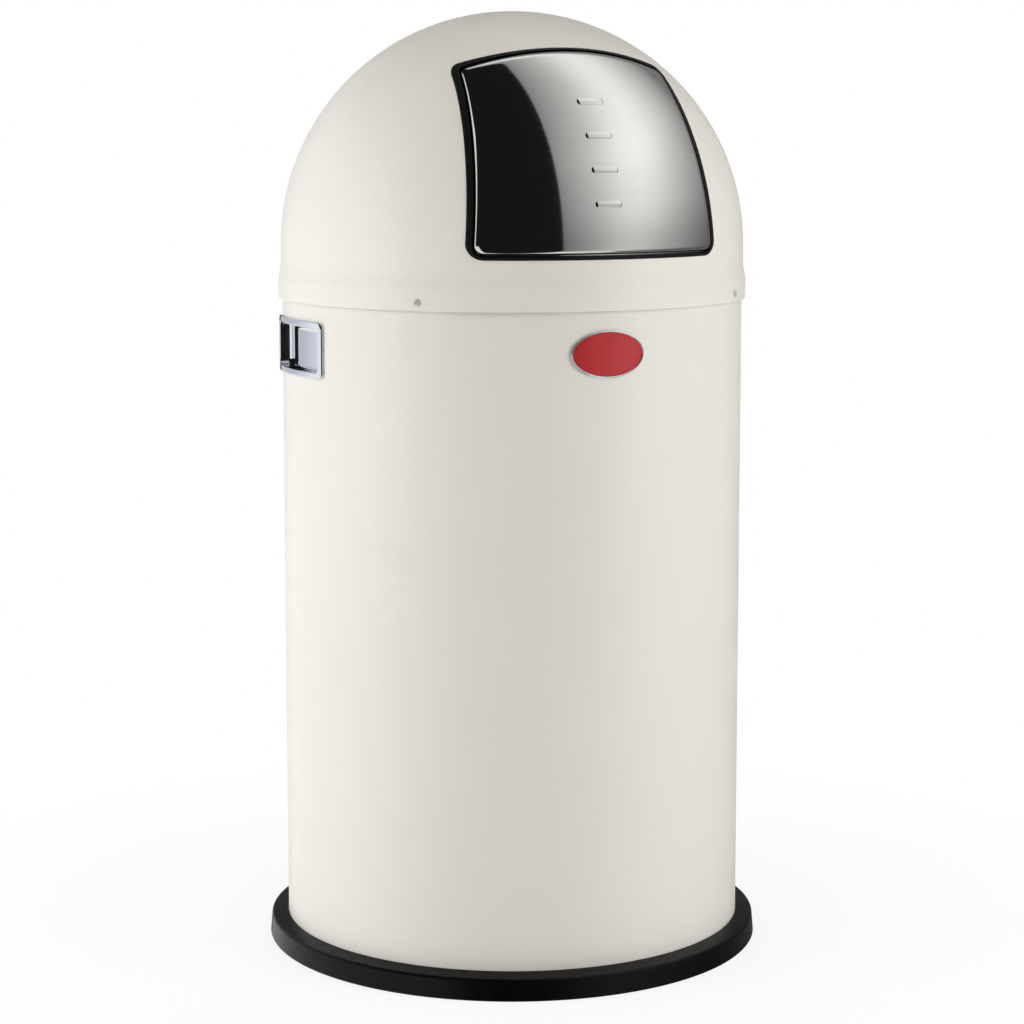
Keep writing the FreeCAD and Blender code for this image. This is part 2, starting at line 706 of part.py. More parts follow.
bracket_body = hinge_body("bracket_plate")
bracket_sketch = new_sketch(bracket_body, "bracket_outline", "YZ_Plane", "bracket_offset")
bracket_top = "hinge_depth + overrun"
bracket_outline = [("-bracket_front", "0"), ("bracket_back", "0"), ("bracket_back", bracket_top),
                   ("-bracket_front", bracket_top)]
pad(bracket_body, "bracket_web", draw(bracket_sketch, bracket_outline), "bracket_sheet")
eye_sketch = new_sketch(bracket_body, "bracket_eye_circle", "YZ_Plane", "bracket_offset")
pad(bracket_body, "bracket_eye_disc", draw_circle(eye_sketch, "0", "0", "bracket_eye"), "bracket_sheet")
bore_sketch = new_sketch(bracket_body, "bracket_bore_circle", "YZ_Plane", "bracket_offset")
pierce(bracket_body, "bracket_bore", draw_circle(bore_sketch, "0", "0", "axle_bore"))
foot_body = hinge_body("bracket_foot_block")
foot_sketch = new_sketch(foot_body, "bracket_foot_outline", "YZ_Plane", "bracket_offset")
pad(foot_body, "bracket_foot_prism", draw(foot_sketch, bracket_outline), "bracket_foot")
bracket_web = common("bracket_trimmed", [bracket_body, ball("bracket_limit", "dome_inner - weld_gap")])
bracket_foot = common("bracket_foot_piece", [
    foot_body, shell("bracket_shell", "dome_inner - weld_gap", "dome_inner - weld_gap - bracket_sheet"),
])
right_bracket = fuse("bracket_whole", [bracket_web, bracket_foot])
node("right_hinge_bracket", right_bracket)
node("left_hinge_bracket", mirrored("bracket_mirror", right_bracket))

axle_body = hinge_body("axle")
groove_start = "axle_clip_start - axle_clip_gap / 2"
groove_end = "axle_clip_start + axle_clip_thick + axle_clip_gap / 2"
groove_radius = "axle_radius - axle_groove"
half_axle = [("axle_half", "0"), ("axle_half", "axle_radius"), (groove_end, "axle_radius"),
             (groove_end, groove_radius), (groove_start, groove_radius), (groove_start, "axle_radius")]
other_half = [(f"-({along})", out) for along, out in reversed(half_axle)]
axle_sketch = draw(new_sketch(axle_body, "axle_profile", "XZ_Plane"), half_axle + other_half)
revolve(axle_body, "axle_turned", axle_sketch, "H_Axis")
node("hinge_axle", axle_body)

clip_body = hinge_body("axle_clip")
clip_sketch = new_sketch(clip_body, "axle_clip_ring", "YZ_Plane", "axle_clip_start")
draw_circle(clip_sketch, "0", "0", "axle_clip_radius")
draw_circle(clip_sketch, "0", "0", f"{groove_radius} + weld_gap")
pad(clip_body, "axle_clip_disc", clip_sketch, "axle_clip_thick")
slot_sketch = new_sketch(clip_body, "axle_clip_slot", "YZ_Plane", "axle_clip_start")
draw(slot_sketch, [(f"-({groove_radius})", "0"), (f"-({groove_radius})", "-axle_clip_radius - overrun"),
                   (groove_radius, "-axle_clip_radius - overrun"), (groove_radius, "0")])
pierce(clip_body, "axle_clip_mouth", slot_sketch)
node("axle_clips", group("axle_clip_pair", [clip_body, mirrored("axle_clip_mirror", clip_body)]))

# Flap springs: a torsion coil round the axle, one leg under the dome and one behind the flap


def spring_shape():
    wire, pitch = value("spring_wire"), value("spring_pitch")
    coil = value("axle_radius + spring_clear + spring_wire / 2")
    outer_place = value("bracket_offset - spring_side_gap - spring_wire / 2")
    hinge = value("hinge_radius")
    first = math.radians(value("spring_back_angle"))
    last = 2 * math.pi * spring_turns - math.radians(value("spring_front_angle"))
    drift = -pitch / (2 * math.pi)

    def on_coil(turn):
        along = outer_place + drift * (turn - first)
        return FreeCAD.Vector(along, -coil * math.sin(turn), coil * math.cos(turn))

    def way(turn, slope):
        return FreeCAD.Vector(slope, -coil * math.cos(turn), -coil * math.sin(turn)).normalize()

    quarters = 4 * spring_turns
    turns = [first + (last - first) * number / quarters for number in range(quarters + 1)]
    slopes = [0] + [drift] * (quarters - 1) + [0]
    stations = [(on_coil(turn), way(turn, slope)) for turn, slope in zip(turns, slopes)]
    edges = []
    for (start, start_way), (end, end_way) in zip(stations, stations[1:]):
        edges += biarc(start, start_way, end, end_way)
    back_tip = stations[0][0] - stations[0][1] * value("spring_back_leg")
    # the front leg ends just short of the flap's back
    start, ahead = stations[-1]
    from_centre = start + FreeCAD.Vector(0, 0, hinge)
    stop = value("flap_back - spring_wire / 2 - spring_tip_gap")
    along = from_centre.dot(ahead)
    front_leg = math.sqrt(along ** 2 + stop ** 2 - from_centre.dot(from_centre)) - along
    front_tip = start + ahead * front_leg
    edges = [Part.LineSegment(back_tip, stations[0][0]).toShape()] + edges
    edges.append(Part.LineSegment(start, front_tip).toShape())
    path = Part.Wire(edges)
    section = Part.Wire(Part.Circle(back_tip, stations[0][1], wire / 2).toShape())
    tube = path.makePipeShell([section], True, False)
    print("spring tube volume over section times length",
          round(tube.Volume / (math.pi * wire ** 2 / 4 * path.Length), 4))
    samples = path.discretize(Distance=wire / 4)
    spacing = path.Length / (len(samples) - 1)
    apart = math.ceil(math.pi * coil / spacing)
    gaps = [one.distanceToPoint(other) - wire for number, one in enumerate(samples)
            for other in samples[number + apart:]]
    print("spring least gap to itself", round(min(gaps), 3))
    return tube


right_spring = doc.addObject("Part::Feature", "spring_right")
right_spring.Shape = spring_shape()
right_spring.Placement = axle_body.Placement
node("right_flap_spring", right_spring)
node("left_flap_spring", mirrored("spring_mirror", right_spring))

# Rim guides: blocks in the skirt that sit on the drum's rim, with tongues that centre the lid

guide_body = new_body("guides")
guide_top = "skirt_top - guide_top_gap"
guide_sketch = draw(new_sketch(guide_body, "guide_profile", "XZ_Plane"), [
    ("guide_inner", "rim_height - guide_tongue"), ("guide_outer", "rim_height - guide_tongue"),
    ("guide_outer", "rim_height"), ("guide_seat", "rim_height"), ("guide_seat", guide_top),
    ("guide_inner", guide_top),
])
guide_block = revolve(guide_body, "guide_block", guide_sketch)
guide_block.Midplane = True
bind(guide_block, Angle="guide_angle")
hole_sketch = new_sketch(guide_body, "guide_hole_circle", "YZ_Plane")
pierce(guide_body, "guide_hole", draw_circle(hole_sketch, "0", "screw_height", "screw_hole"))
screw_body = new_body("screws")
head_end = "skirt_radius + weld_gap + screw_head"
screw_sketch = draw(new_sketch(screw_body, "screw_profile", "XZ_Plane"), [
    ("guide_inner + screw_tip_gap", "0"), (head_end, "0"), (head_end, "screw_head_radius / 2"),
    (f"{head_end} - screw_head / 2", "screw_head_radius"), ("skirt_radius + weld_gap", "screw_head_radius"),
    ("skirt_radius + weld_gap", "screw_radius"), ("guide_inner + screw_tip_gap", "screw_radius"),
])
revolve(screw_body, "screw_turned", screw_sketch, "H_Axis")
bind(screw_body, Placement__Base__z="screw_height")
for name, body in (("rim_guides", guide_body), ("guide_screws", screw_body)):
    ring = body.newObject("PartDesign::PolarPattern", name + "_ring")
    ring.TransformMode = "Whole shape"
    ring.Axis = (origin(body, "Z_Axis"), [""])
    ring.Angle = 360
    ring.Occurrences = guide_count
    body.Tip = ring
    body.Placement.Rotation = FreeCAD.Rotation(FreeCAD.Vector(0, 0, 1), value("screw_azimuth"))
    bind(body, Placement__Rotation__Angle="screw_azimuth")
    node(name, body)

# Liner: a rolled wall with a wired bead, a pressed floor, and two riveted lugs for the bail

wall_body = turned_body("liner_wall_body", [
    ("liner_inner", "floor_height"), ("liner_radius", "floor_height"), ("liner_radius", "bead_height"),
    ("liner_inner", "bead_height"),
])
bead_sketch = draw_circle(new_sketch(wall_body, "bead_circle", "XZ_Plane"), "bead_track", "bead_height",
                          "bead_radius")
revolve(wall_body, "bead", bead_sketch)
rivet_holes, rivets = [], []
for row in range(rivet_rows):
    height = f"lug_bottom + rivet_rise + {row} * rivet_pitch"
    rivet_holes.append(rod(f"rivet_hole_{row}", "rivet_radius + rivet_fit", "2 * (liner_radius + overrun)",
                           (1, 0, 0), x="-liner_radius - overrun", z=height))
    shank = rod(f"rivet_shank_{row}", "rivet_radius", "liner_radius - lug_back + 2 * weld_gap", (1, 0, 0),
                x="lug_back - weld_gap", z=height)
    inner_head = rod(f"rivet_inner_{row}", "rivet_head_radius", "rivet_head", (-1, 0, 0),
                     x="lug_back - weld_gap", z=height)
    outer_head = rod(f"rivet_outer_{row}", "rivet_head_radius", "rivet_head", (1, 0, 0),
                     x="liner_radius + weld_gap", z=height)
    rivet = fuse(f"rivet_{row}", [shank, inner_head, outer_head])
    rivets += [rivet, mirrored(f"rivet_left_{row}", rivet)]
rivet_drill = fuse("rivet_drill", rivet_holes)
node("liner_wall", cut("liner_wall_cut", wall_body, rivet_drill))
seam = "liner_inner - weld_gap"
pan = "floor_height + liner_foot"
node("liner_floor", turned_body("liner_floor", [
    ("0", f"{pan} + liner_sheet"), (seam, f"{pan} + liner_sheet"), (seam, "floor_height"),
    (f"{seam} - liner_sheet", "floor_height"), (f"{seam} - liner_sheet", pan), ("0", pan),
]))
lug_body = new_body("lug")
lug_sketch = draw(new_sketch(lug_body, "lug_outline", "YZ_Plane", "lug_back"), [
    ("-lug_half", "lug_bottom"), ("lug_half", "lug_bottom"), ("lug_half", "bail_height"),
    ("0", "bail_height + lug_half"), ("-lug_half", "bail_height"),
], {2: ("lug_half", 1), 3: ("lug_half", 1)})
pad(lug_body, "lug_plate", lug_sketch, "lug_sheet")
eye_sketch = new_sketch(lug_body, "lug_eye_circle", "YZ_Plane")
pierce(lug_body, "lug_eye", draw_circle(eye_sketch, "0", "bail_height", "bail_eye"))
right_lug = cut("lug_cut", lug_body, rivet_drill)
node("liner_lugs", group("lug_pair", [right_lug, mirrored("lug_mirror", right_lug)]))
node("lug_rivets", group("rivet_set", rivets))

# Bail: one wire over the bead, bent in at both ends through the lugs and headed there


def bail_shape():
    bend, wire = value("bail_bend"), value("bail_wire")
    pin, straight = value("lug_back - bail_pin"), value("bail_straight")
    inner = math.hypot(straight, bend)
    track = inner + bend
    centre = FreeCAD.Vector(straight, bend, 0)
    out = centre / inner
    crown = (out + FreeCAD.Vector(0, -1, 0)).normalize()
    right = [FreeCAD.Vector(pin, 0, 0), FreeCAD.Vector(straight, 0, 0), centre + crown * bend, out * track]
    left = [FreeCAD.Vector(-point.x, point.y, 0) for point in right]
    edges = [
        Part.LineSegment(right[0], right[1]).toShape(),
        Part.Arc(right[1], right[2], right[3]).toShape(),
        Part.Arc(right[3], FreeCAD.Vector(0, track, 0), left[3]).toShape(),
        Part.Arc(left[3], left[2], left[1]).toShape(),
        Part.LineSegment(left[1], left[0]).toShape(),
    ]
    path = Part.Wire(edges)
    section = Part.Wire(Part.Circle(right[0], FreeCAD.Vector(1, 0, 0), wire).toShape())
    bail = path.makePipeShell([section], True, False)
    print("bail tube volume over section times length",
          round(bail.Volume / (math.pi * wire ** 2 * path.Length), 4))
    for end in (right[0], left[0]):
        head = Part.makeCylinder(value("bail_head_radius"), value("bail_head"), end,
                                 FreeCAD.Vector(-math.copysign(1, end.x), 0, 0))
        bail = bail.fuse(head)
    return bail


bail = doc.addObject("Part::Feature", "bail_wire_form")
bail.Shape = bail_shape()
bail.Placement = FreeCAD.Placement(FreeCAD.Vector(0, 0, value("bail_height")), FreeCAD.Rotation())
node("liner_bail", bail)

doc.recompute()
for item in doc.Objects:
    if "Invalid" in item.State or "Error" in item.State:
        raise ValueError(f"{item.Label} failed: {item.State}")
for name, item in nodes.items():
    if item.Shape.isNull() or not item.Shape.isValid():
        raise ValueError(name + " has no valid shape")
os.makedirs("parts", exist_ok=True)
for name, item in nodes.items():
    item.Shape.exportStep(f"parts/{name}.step")
    box = item.Shape.BoundBox
    print(f"{name}: {len(item.Shape.Solids)} solids, {item.Shape.Volume / 1000:.2f} cm3,",
          f"x {box.XMin:.1f} {box.XMax:.1f} y {box.YMin:.1f} {box.YMax:.1f} z {box.ZMin:.1f} {box.ZMax:.1f}")
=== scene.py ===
import math

import bpy
import numpy as np
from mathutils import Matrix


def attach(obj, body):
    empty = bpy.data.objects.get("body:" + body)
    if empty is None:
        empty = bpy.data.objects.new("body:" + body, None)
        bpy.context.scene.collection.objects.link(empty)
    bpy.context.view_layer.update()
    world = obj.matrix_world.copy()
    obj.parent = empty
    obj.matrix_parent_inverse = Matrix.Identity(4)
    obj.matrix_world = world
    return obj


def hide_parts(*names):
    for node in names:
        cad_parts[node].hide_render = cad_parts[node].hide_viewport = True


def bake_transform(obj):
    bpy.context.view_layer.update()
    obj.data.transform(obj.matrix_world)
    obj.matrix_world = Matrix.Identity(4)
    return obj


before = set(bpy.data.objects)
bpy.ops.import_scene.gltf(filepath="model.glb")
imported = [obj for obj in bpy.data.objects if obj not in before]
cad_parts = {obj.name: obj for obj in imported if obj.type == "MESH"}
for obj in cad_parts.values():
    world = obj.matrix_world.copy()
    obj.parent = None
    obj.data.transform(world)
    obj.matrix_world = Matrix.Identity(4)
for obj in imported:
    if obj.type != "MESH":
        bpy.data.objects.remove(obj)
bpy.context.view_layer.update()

mm = 0.001  # lengths of pieces are in millimetres, the scene is in metres
tiny = 0.02  # corner radius, too small to see, where a section stays square
sharpAngle = 35  # degrees between two faces from which their edge is drawn sharp
upright = np.array([0.0, 0.0, 1.0])
print("frame loaded:", len(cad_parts), "nodes")


# meshes

def gridQuads(rows, cols, closeRows):
    # point (row, col) joins its neighbours one col and one row on; cols always run round
    row = np.arange(rows if closeRows else rows - 1)[:, None]
    col = np.arange(cols)[None, :]
    nextRow, nextCol = (row + 1) % rows, (col + 1) % cols
    corners = [row * cols + col, row * cols + nextCol,
               nextRow * cols + nextCol, nextRow * cols + col]
    return np.stack(corners, -1).reshape(-1, 4)


def loopSurface(loops, poleStart=None, poleEnd=None, closeRows=False, paint=0):
    # loops of equal count joined one to the next; a pole closes an end with a fan to one point,
    # and paint is the number of the surface's finish in its piece
    loops = np.asarray(loops, float)
    rows, cols = loops.shape[:2]
    points, tris = [loops.reshape(-1, 3)], [np.zeros((0, 3), int)]
    spot = np.arange(cols)
    after = (spot + 1) % cols
    tip = rows * cols
    if poleStart is not None:
        points.append(np.reshape(poleStart, (1, 3)))
        tris.append(np.stack([after, spot, np.full(cols, tip)], -1))
        tip += 1
    if poleEnd is not None:
        points.append(np.reshape(poleEnd, (1, 3)))
        last = (rows - 1) * cols
        tris.append(np.stack([spot + last, after + last, np.full(cols, tip)], -1))
    return {"points": np.vstack(points), "quads": gridQuads(rows, cols, closeRows),
            "tris": np.vstack(tris), "paint": paint}


def facingOut(surface):
    # a closed surface is turned round where its signed volume, the sum of v0 . (v1 x v2) / 6,
    # is negative
    points, quads, tris = surface["points"], surface["quads"], surface["tris"]
    split = np.vstack([quads[:, [0, 1, 2]], quads[:, [0, 2, 3]], tris])
    a, b, c = (points[split[:, k]] - points.mean(0) for k in range(3))
    if np.einsum("ij,ij->i", a, np.cross(b, c)).sum() < 0:
        quads, tris = quads[:, ::-1], tris[:, ::-1]
    return dict(surface, quads=quads, tris=tris)


def mirrorX(surfaces):
    # x becomes -x, and addPiece turns the faces outwards again
    return [dict(s, points=s["points"] * [-1, 1, 1]) for s in surfaces]


def addPiece(name, surfaces, body, finishes, replaced):
    # closed surfaces joined into one mesh at the origin; body is a name, or two names with a start
    # and an end for a piece between two bodies; the start and end are not used, and such a piece
    # stays where it stands
    points, faces, paints, first = [], [], [], 0
    for surface in map(facingOut, surfaces):
        points.append(surface["points"])
        faces += (surface["quads"] + first).tolist() + (surface["tris"] + first).tolist()
        paints.append(np.full(len(surface["quads"]) + len(surface["tris"]), surface["paint"]))
        first += len(surface["points"])
    mesh = bpy.data.meshes.new(name)
    mesh.from_pydata((np.vstack(points) * mm).tolist(), [], faces)
    mesh.polygons.foreach_set("use_smooth", np.ones(len(faces), bool))
    mesh.polygons.foreach_set("material_index", np.concatenate(paints).astype(np.int32))
    mesh.set_sharp_from_angle(angle=math.radians(sharpAngle))
    for finish in finishes:
        mesh.materials.append(finish)
    piece = bpy.data.objects.new(name, mesh)
    bpy.context.scene.collection.objects.link(piece)
    if isinstance(body, str):
        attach(piece, body)
    else:
        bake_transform(piece)
    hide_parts(*replaced)


def roundCorners(corners, radii, steps=7, hold=0.4):
    # closed outline with an arc at each corner, which starts radius / tan(half angle) from the
    # corner; a holding point stands just before and after it so that flats shade flat
    corners = np.asarray(corners, float)
    radii = np.broadcast_to(np.asarray(radii, float), len(corners))
    toBack, toFront = np.roll(corners, 1, 0) - corners, np.roll(corners, -1, 0) - corners
    toBack /= np.linalg.norm(toBack, axis=1, keepdims=True)
    toFront /= np.linalg.norm(toFront, axis=1, keepdims=True)
    half = np.arccos(np.clip((toBack * toFront).sum(1), -1, 1)) / 2
    reach = (radii / np.tan(half))[:, None]
    middle = toBack + toFront
    middle /= np.linalg.norm(middle, axis=1, keepdims=True)
    centre = corners + middle * (radii / np.sin(half))[:, None]
    start, end = corners + toBack * reach, corners + toFront * reach
    turn = (np.pi - 2 * half)[:, None, None]
    share = np.linspace(0, 1, steps)[None, :, None]
    arcs = centre[:, None] + (np.sin((1 - share) * turn) * (start - centre)[:, None]
                              + np.sin(share * turn) * (end - centre)[:, None]) / np.sin(turn)
    holdBy = np.minimum(hold, radii / 2)[:, None]
    holdIn, holdOut = (start + toBack * holdBy)[:, None], (end + toFront * holdBy)[:, None]
    return np.concatenate([holdIn, arcs, holdOut], 1).reshape(-1, 2)


def turned(profile, count=360, poles=None):
    # (radius, height) carried round the upright axis: (r cos t, r sin t, z)
    profile = np.asarray(profile, float)
    t = np.linspace(0, 2 * np.pi, count, endpoint=False)
    r, z = profile[:, :1], profile[:, 1:]
    loops = np.stack([r * np.cos(t), r * np.sin(t), z + 0 * t], -1)
    if poles:
        return loopSurface(loops, (0, 0, poles[0]), (0, 0, poles[1]))
    return loopSurface(loops, closeRows=True)


def tube(path, normals, radius, sides):
    # a circle carried along a path: centre + radius (cos s n + sin s b), where b is tangent x n
    tangent = np.gradient(path, axis=0)
    tangent /= np.linalg.norm(tangent, axis=1, keepdims=True)
    normals = normals - tangent * (tangent * normals).sum(1, keepdims=True)
    normals /= np.linalg.norm(normals, axis=1, keepdims=True)
    side = np.cross(tangent, normals)
    s = np.linspace(0, 2 * np.pi, sides, endpoint=False)[None, :, None]
    loops = path[:, None] + radius * (np.cos(s) * normals[:, None] + np.sin(s) * side[:, None])
    return loopSurface(loops, path[0], path[-1])


# finishes

def hexColour(text):
    # sRGB hex to linear, by the curve of the sRGB standard
    srgb = np.array([int(text[k:k + 2], 16) for k in (1, 3, 5)]) / 255
    linear = np.where(srgb <= 0.04045, srgb / 12.92, ((srgb + 0.055) / 1.055) ** 2.4)
    return (*linear.tolist(), 1.0)


def addNode(tree, kind, inputs, feeds=None, **settings):
    # inputs hold fixed values or the sockets that feed them, and feeds says where outputs go
    node = tree.nodes.new(kind)
    for key, setting in settings.items():
        setattr(node, key, setting)
    for socket, source in inputs.items():
        if isinstance(source, bpy.types.NodeSocket):
            tree.links.new(source, node.inputs[socket])
        else:
            node.inputs[socket].default_value = source
    for output, socket in (feeds or {}).items():
        tree.links.new(node.outputs[output], socket)
    return node


def makeFinish(name, look):
    # two close colours in soft patches or crystals, a roughness that wanders between two values,
    # and a fine relief; sizes are the width in millimetres of each pattern's features
    finish = bpy.data.materials.new(name)
    finish.use_nodes = True
    tree = finish.node_tree
    shader = tree.nodes["Principled BSDF"]
    for socket, setting in look["sockets"].items():
        shader.inputs[socket].default_value = setting
    place = addNode(tree, "ShaderNodeTexCoord", {}).outputs["Object"]
    if "stretch" in look:
        stretch = {"Vector": place, "Scale": look["stretch"]}
        place = addNode(tree, "ShaderNodeMapping", stretch).outputs[0]
    patterns = {}
    for use, size in look["sizes"].items():
        noise = {"Vector": place, "Scale": 1 / (size * mm)}
        patterns[use] = addNode(tree, "ShaderNodeTexNoise", noise).outputs[0]
    if "crystals" in look:
        cells = {"Vector": place, "Scale": 1 / (look["crystals"] * mm)}
        shades = addNode(tree, "ShaderNodeTexVoronoi", cells).outputs["Color"]
        grey = addNode(tree, "ShaderNodeSeparateColor", {"Color": shades}).outputs[0]
        patterns.update(colours=grey, rough=grey)
    # a mix of colours has its two colours on sockets 6 and 7 and the result on 2
    first, second = map(hexColour, look["colours"])
    addNode(tree, "ShaderNodeMix", {0: patterns["colours"], 6: first, 7: second},
            {2: shader.inputs["Base Color"]}, data_type="RGBA")
    # most of a pattern lies between 0.3 and 0.7
    low, high = look["rough"]
    spread = {"Value": patterns["rough"], "From Min": 0.3, "From Max": 0.7,
              "To Min": low, "To Max": high}
    addNode(tree, "ShaderNodeMapRange", spread, {0: shader.inputs["Roughness"]})
    if "relief" in patterns:
        relief = {"Height": patterns["relief"], "Distance": look["depth"] * mm,
                  "Strength": look["strength"]}
        addNode(tree, "ShaderNodeBump", relief, {0: shader.inputs["Normal"]})
    return finish


# baked polyester powder coat: satin, with the faint orange peel of cured powder, drawn at 2 mm
# to show
powderCoat = makeFinish("powderCoat", {
    "sockets": {"IOR": 1.5}, "colours": ("#EAE9E5", "#E6E4DF"), "rough": (0.36, 0.44),
    "depth": 0.015, "strength": 0.25, "sizes": {"colours": 90, "rough": 40, "relief": 2.0}})

# cold-rolled stainless sheet, mirror polished: faint level polishing lines, drawn 1 mm apart
# to show
polishedStainless = makeFinish("polishedStainless", {
    "sockets": {"Metallic": 1.0}, "colours": ("#D3D2CF", "#CECDCA"), "rough": (0.05, 0.08),
    "depth": 0.001, "strength": 0.1, "sizes": {"colours": 1.0, "rough": 1.4, "relief": 1.0},
    "stretch": (0.03, 0.03, 1.0)})

# bright chrome plate on a casting, with faint finger haze
chromePlate = makeFinish("chromePlate", {
    "sockets": {"Metallic": 1.0}, "colours": ("#E2E4E7", "#DADDE1"), "rough": (0.04, 0.09),
    "sizes": {"colours": 30, "rough": 14}})

# moulded polypropylene in black, with the fine grain of a spark-eroded mould, drawn at 0.9 mm
# to show
blackPolypropylene = makeFinish("blackPolypropylene", {
    "sockets": {"IOR": 1.49, "Specular IOR Level": 0.14}, "colours": ("#0A0A0A", "#060607"),
    "rough": (0.26, 0.36), "depth": 0.015, "strength": 0.3,
    "sizes": {"colours": 25, "rough": 8, "relief": 0.9}})

# extruded EPDM rubber: dull black with a bloom that varies over some millimetres
blackRubber = makeFinish("blackRubber", {
    "sockets": {"IOR": 1.52, "Specular IOR Level": 0.25}, "colours": ("#0B0B0B", "#121212"),
    "rough": (0.5, 0.66), "sizes": {"colours": 9, "rough": 3}})

# hot-dip galvanised sheet: zinc crystals about 16 mm wide, each a little lighter or duller
galvanised = makeFinish("galvanised", {
    "sockets": {"Metallic": 1.0}, "colours": ("#BCC0C2", "#CED1D2"), "rough": (0.37, 0.45),
    "crystals": 16, "sizes": {}})

# bright zinc plate on pressed steel, slightly cloudy
zincPlate = makeFinish("zincPlate", {
    "sockets": {"Metallic": 1.0}, "colours": ("#D2D5D7", "#BFC3C7"), "rough": (0.4, 0.54),
    "sizes": {"colours": 6, "rough": 4}})

# zinc flake baked on in a binder, as on outdoor screws: a dull silver paint, half metal to the eye
zincFlake = makeFinish("zincFlake", {
    "sockets": {"Metallic": 0.4}, "colours": ("#DEDDD8", "#D2D1CC"), "rough": (0.5, 0.6),
    "sizes": {"colours": 1.5, "rough": 1.0}})

# drawn spring steel, oiled: darker grey, a little cloudy
springSteel = makeFinish("springSteel", {
    "sockets": {"Metallic": 1.0}, "colours": ("#8E8F92", "#77787B"), "rough": (0.24, 0.36),
    "sizes": {"colours": 3, "rough": 2}})

# natural nylon 6, moulded: milky and softly shining
naturalNylon = makeFinish("naturalNylon", {
    "sockets": {"IOR": 1.53}, "colours": ("#DDD9CD", "#D2CEC1"), "rough": (0.42, 0.48),
    "depth": 0.02, "strength": 0.3, "sizes": {"colours": 8, "rough": 8, "relief": 0.8}})

# fired red enamel: glassy, with a slow wave in its surface
redEnamel = makeFinish("redEnamel", {
    "sockets": {"IOR": 1.52}, "colours": ("#BC2A30", "#AE242B"), "rough": (0.13, 0.19),
    "depth": 0.02, "strength": 0.3, "sizes": {"colours": 12, "rough": 9, "relief": 5}})
print("finishes made")


# drum: one sheet, outer wall up, rim rolled in with a lip, inner wall down, less two grip windows;
# bands are the heights at which the wall below the windows has a row of points
drum = {"radius": 186.0, "sheet": 0.8, "foot": 3.0, "footBevel": 0.2,
        "bands": (3.3, 3.8, 30.0, 160.0, 300.0, 430.0), "windowLow": 472.0, "windowHigh": 510.0,
        "windowCols": 30, "cols": 720, "wallTop": 522.0, "rollStart": 522.5, "rim": 529.0,
        "rimInner": 180.0, "lip": 6.0, "rollRadii": (tiny, 1.8, 1.8, 0.3, 0.3, 1.0, 1.0, tiny)}


def drumSurface(d):
    # a section of (radius, height) turned, less the quads in both windows; each window's edge
    # on the outer wall is then joined to its edge on the inner one
    inner, under = d["radius"] - d["sheet"], d["rim"] - d["sheet"]
    lipBack, lipEnd = d["rimInner"] + d["sheet"], d["rim"] - d["lip"]
    heights = np.array([*d["bands"], d["windowLow"], d["windowHigh"], d["wallTop"]])
    outside = np.stack([np.full(len(heights), d["radius"]), heights], -1)
    inside = np.stack([np.full(len(heights), inner), heights[::-1]], -1)
    rolled = roundCorners([
        (d["radius"], d["rollStart"]), (d["radius"], d["rim"]), (d["rimInner"], d["rim"]),
        (d["rimInner"], lipEnd), (lipBack, lipEnd), (lipBack, under), (inner, under),
        (inner, d["rollStart"])], d["rollRadii"])
    foot = [(inner + d["footBevel"], d["foot"]), (d["radius"] - d["footBevel"], d["foot"])]
    section = np.vstack([outside, rolled, inside, foot])
    surface = turned(section, d["cols"])
    quads = surface["quads"].reshape(len(section), d["cols"], 4)
    keep = np.ones((len(section), d["cols"]), bool)
    # rows at the windows' lower edge: the outer wall counts upwards, the inner one downwards
    low = int(np.argmax(heights == d["windowLow"]))
    lowIn = len(outside) + len(rolled) + len(inside) - 1 - low
    outLow, outHigh, inLow, inHigh = (
        row * d["cols"] for row in (low, low + 1, lowIn, lowIn - 1))
    reveals = []
    for middle in (0, d["cols"] // 2):
        cols = np.arange(middle - d["windowCols"], middle + d["windowCols"]) % d["cols"]
        ends = (cols + 1) % d["cols"]
        first, last = cols[:1], ends[-1:]
        keep[low, cols] = keep[lowIn - 1, cols] = False
        reveals += [np.stack([outLow + ends, outLow + cols, inLow + cols, inLow + ends], -1),
                    np.stack([outHigh + cols, outHigh + ends, inHigh + ends, inHigh + cols], -1),
                    np.stack([outLow + first, outHigh + first, inHigh + first, inLow + first], -1),
                    np.stack([outHigh + last, outLow + last, inLow + last, inHigh + last], -1)]
    return dict(surface, quads=np.vstack([quads[keep]] + [r[:, ::-1] for r in reveals]))


addPiece("drumBody", [drumSurface(drum)], "bin", [powderCoat], ["body_shell"])

# base ring: a moulded section of (radius, height), with a radius at each corner, turned
baseRing = {"section": [(172, 0), (200, 0), (201, 1), (199.6, 17), (186.1, 20), (186.1, 3),
                        (184.25, 3), (184.25, 13), (172, 13)],
            "radii": [0.6, 0.5, 0.8, 2.4, 0.7, 0.3, 0.3, 0.4, 0.6], "cols": 540}
ringOutline = roundCorners(baseRing["section"], baseRing["radii"])
addPiece("baseRing", [turned(ringOutline, baseRing["cols"])], "bin",
         [blackPolypropylene], ["base_ring"])

# base plate, pressed from one sheet
basePlate = {"top": 16.8, "radius": 185.15, "edge": 6.8, "sheet": 0.8, "bend": 1.4,
             "edgeRound": 0.2, "heart": 2.0}


def pressedPan(p):
    # a round floor with its rim turned down: from the axis out over the bend, down, and back
    inner, under = p["radius"] - p["sheet"], p["top"] - p["sheet"]
    section = [(p["heart"], p["top"]), (p["radius"], p["top"]), (p["radius"], p["edge"]),
               (inner, p["edge"]), (inner, under), (p["heart"], under)]
    outline = roundCorners(section, [tiny, p["bend"], p["edgeRound"], p["edgeRound"],
                                     p["bend"] - p["sheet"] / 2, tiny])
    half = len(outline) // len(section) // 2  # half of each end corner gives way to the pole
    return turned(outline[half:-half], poles=(p["top"], under))


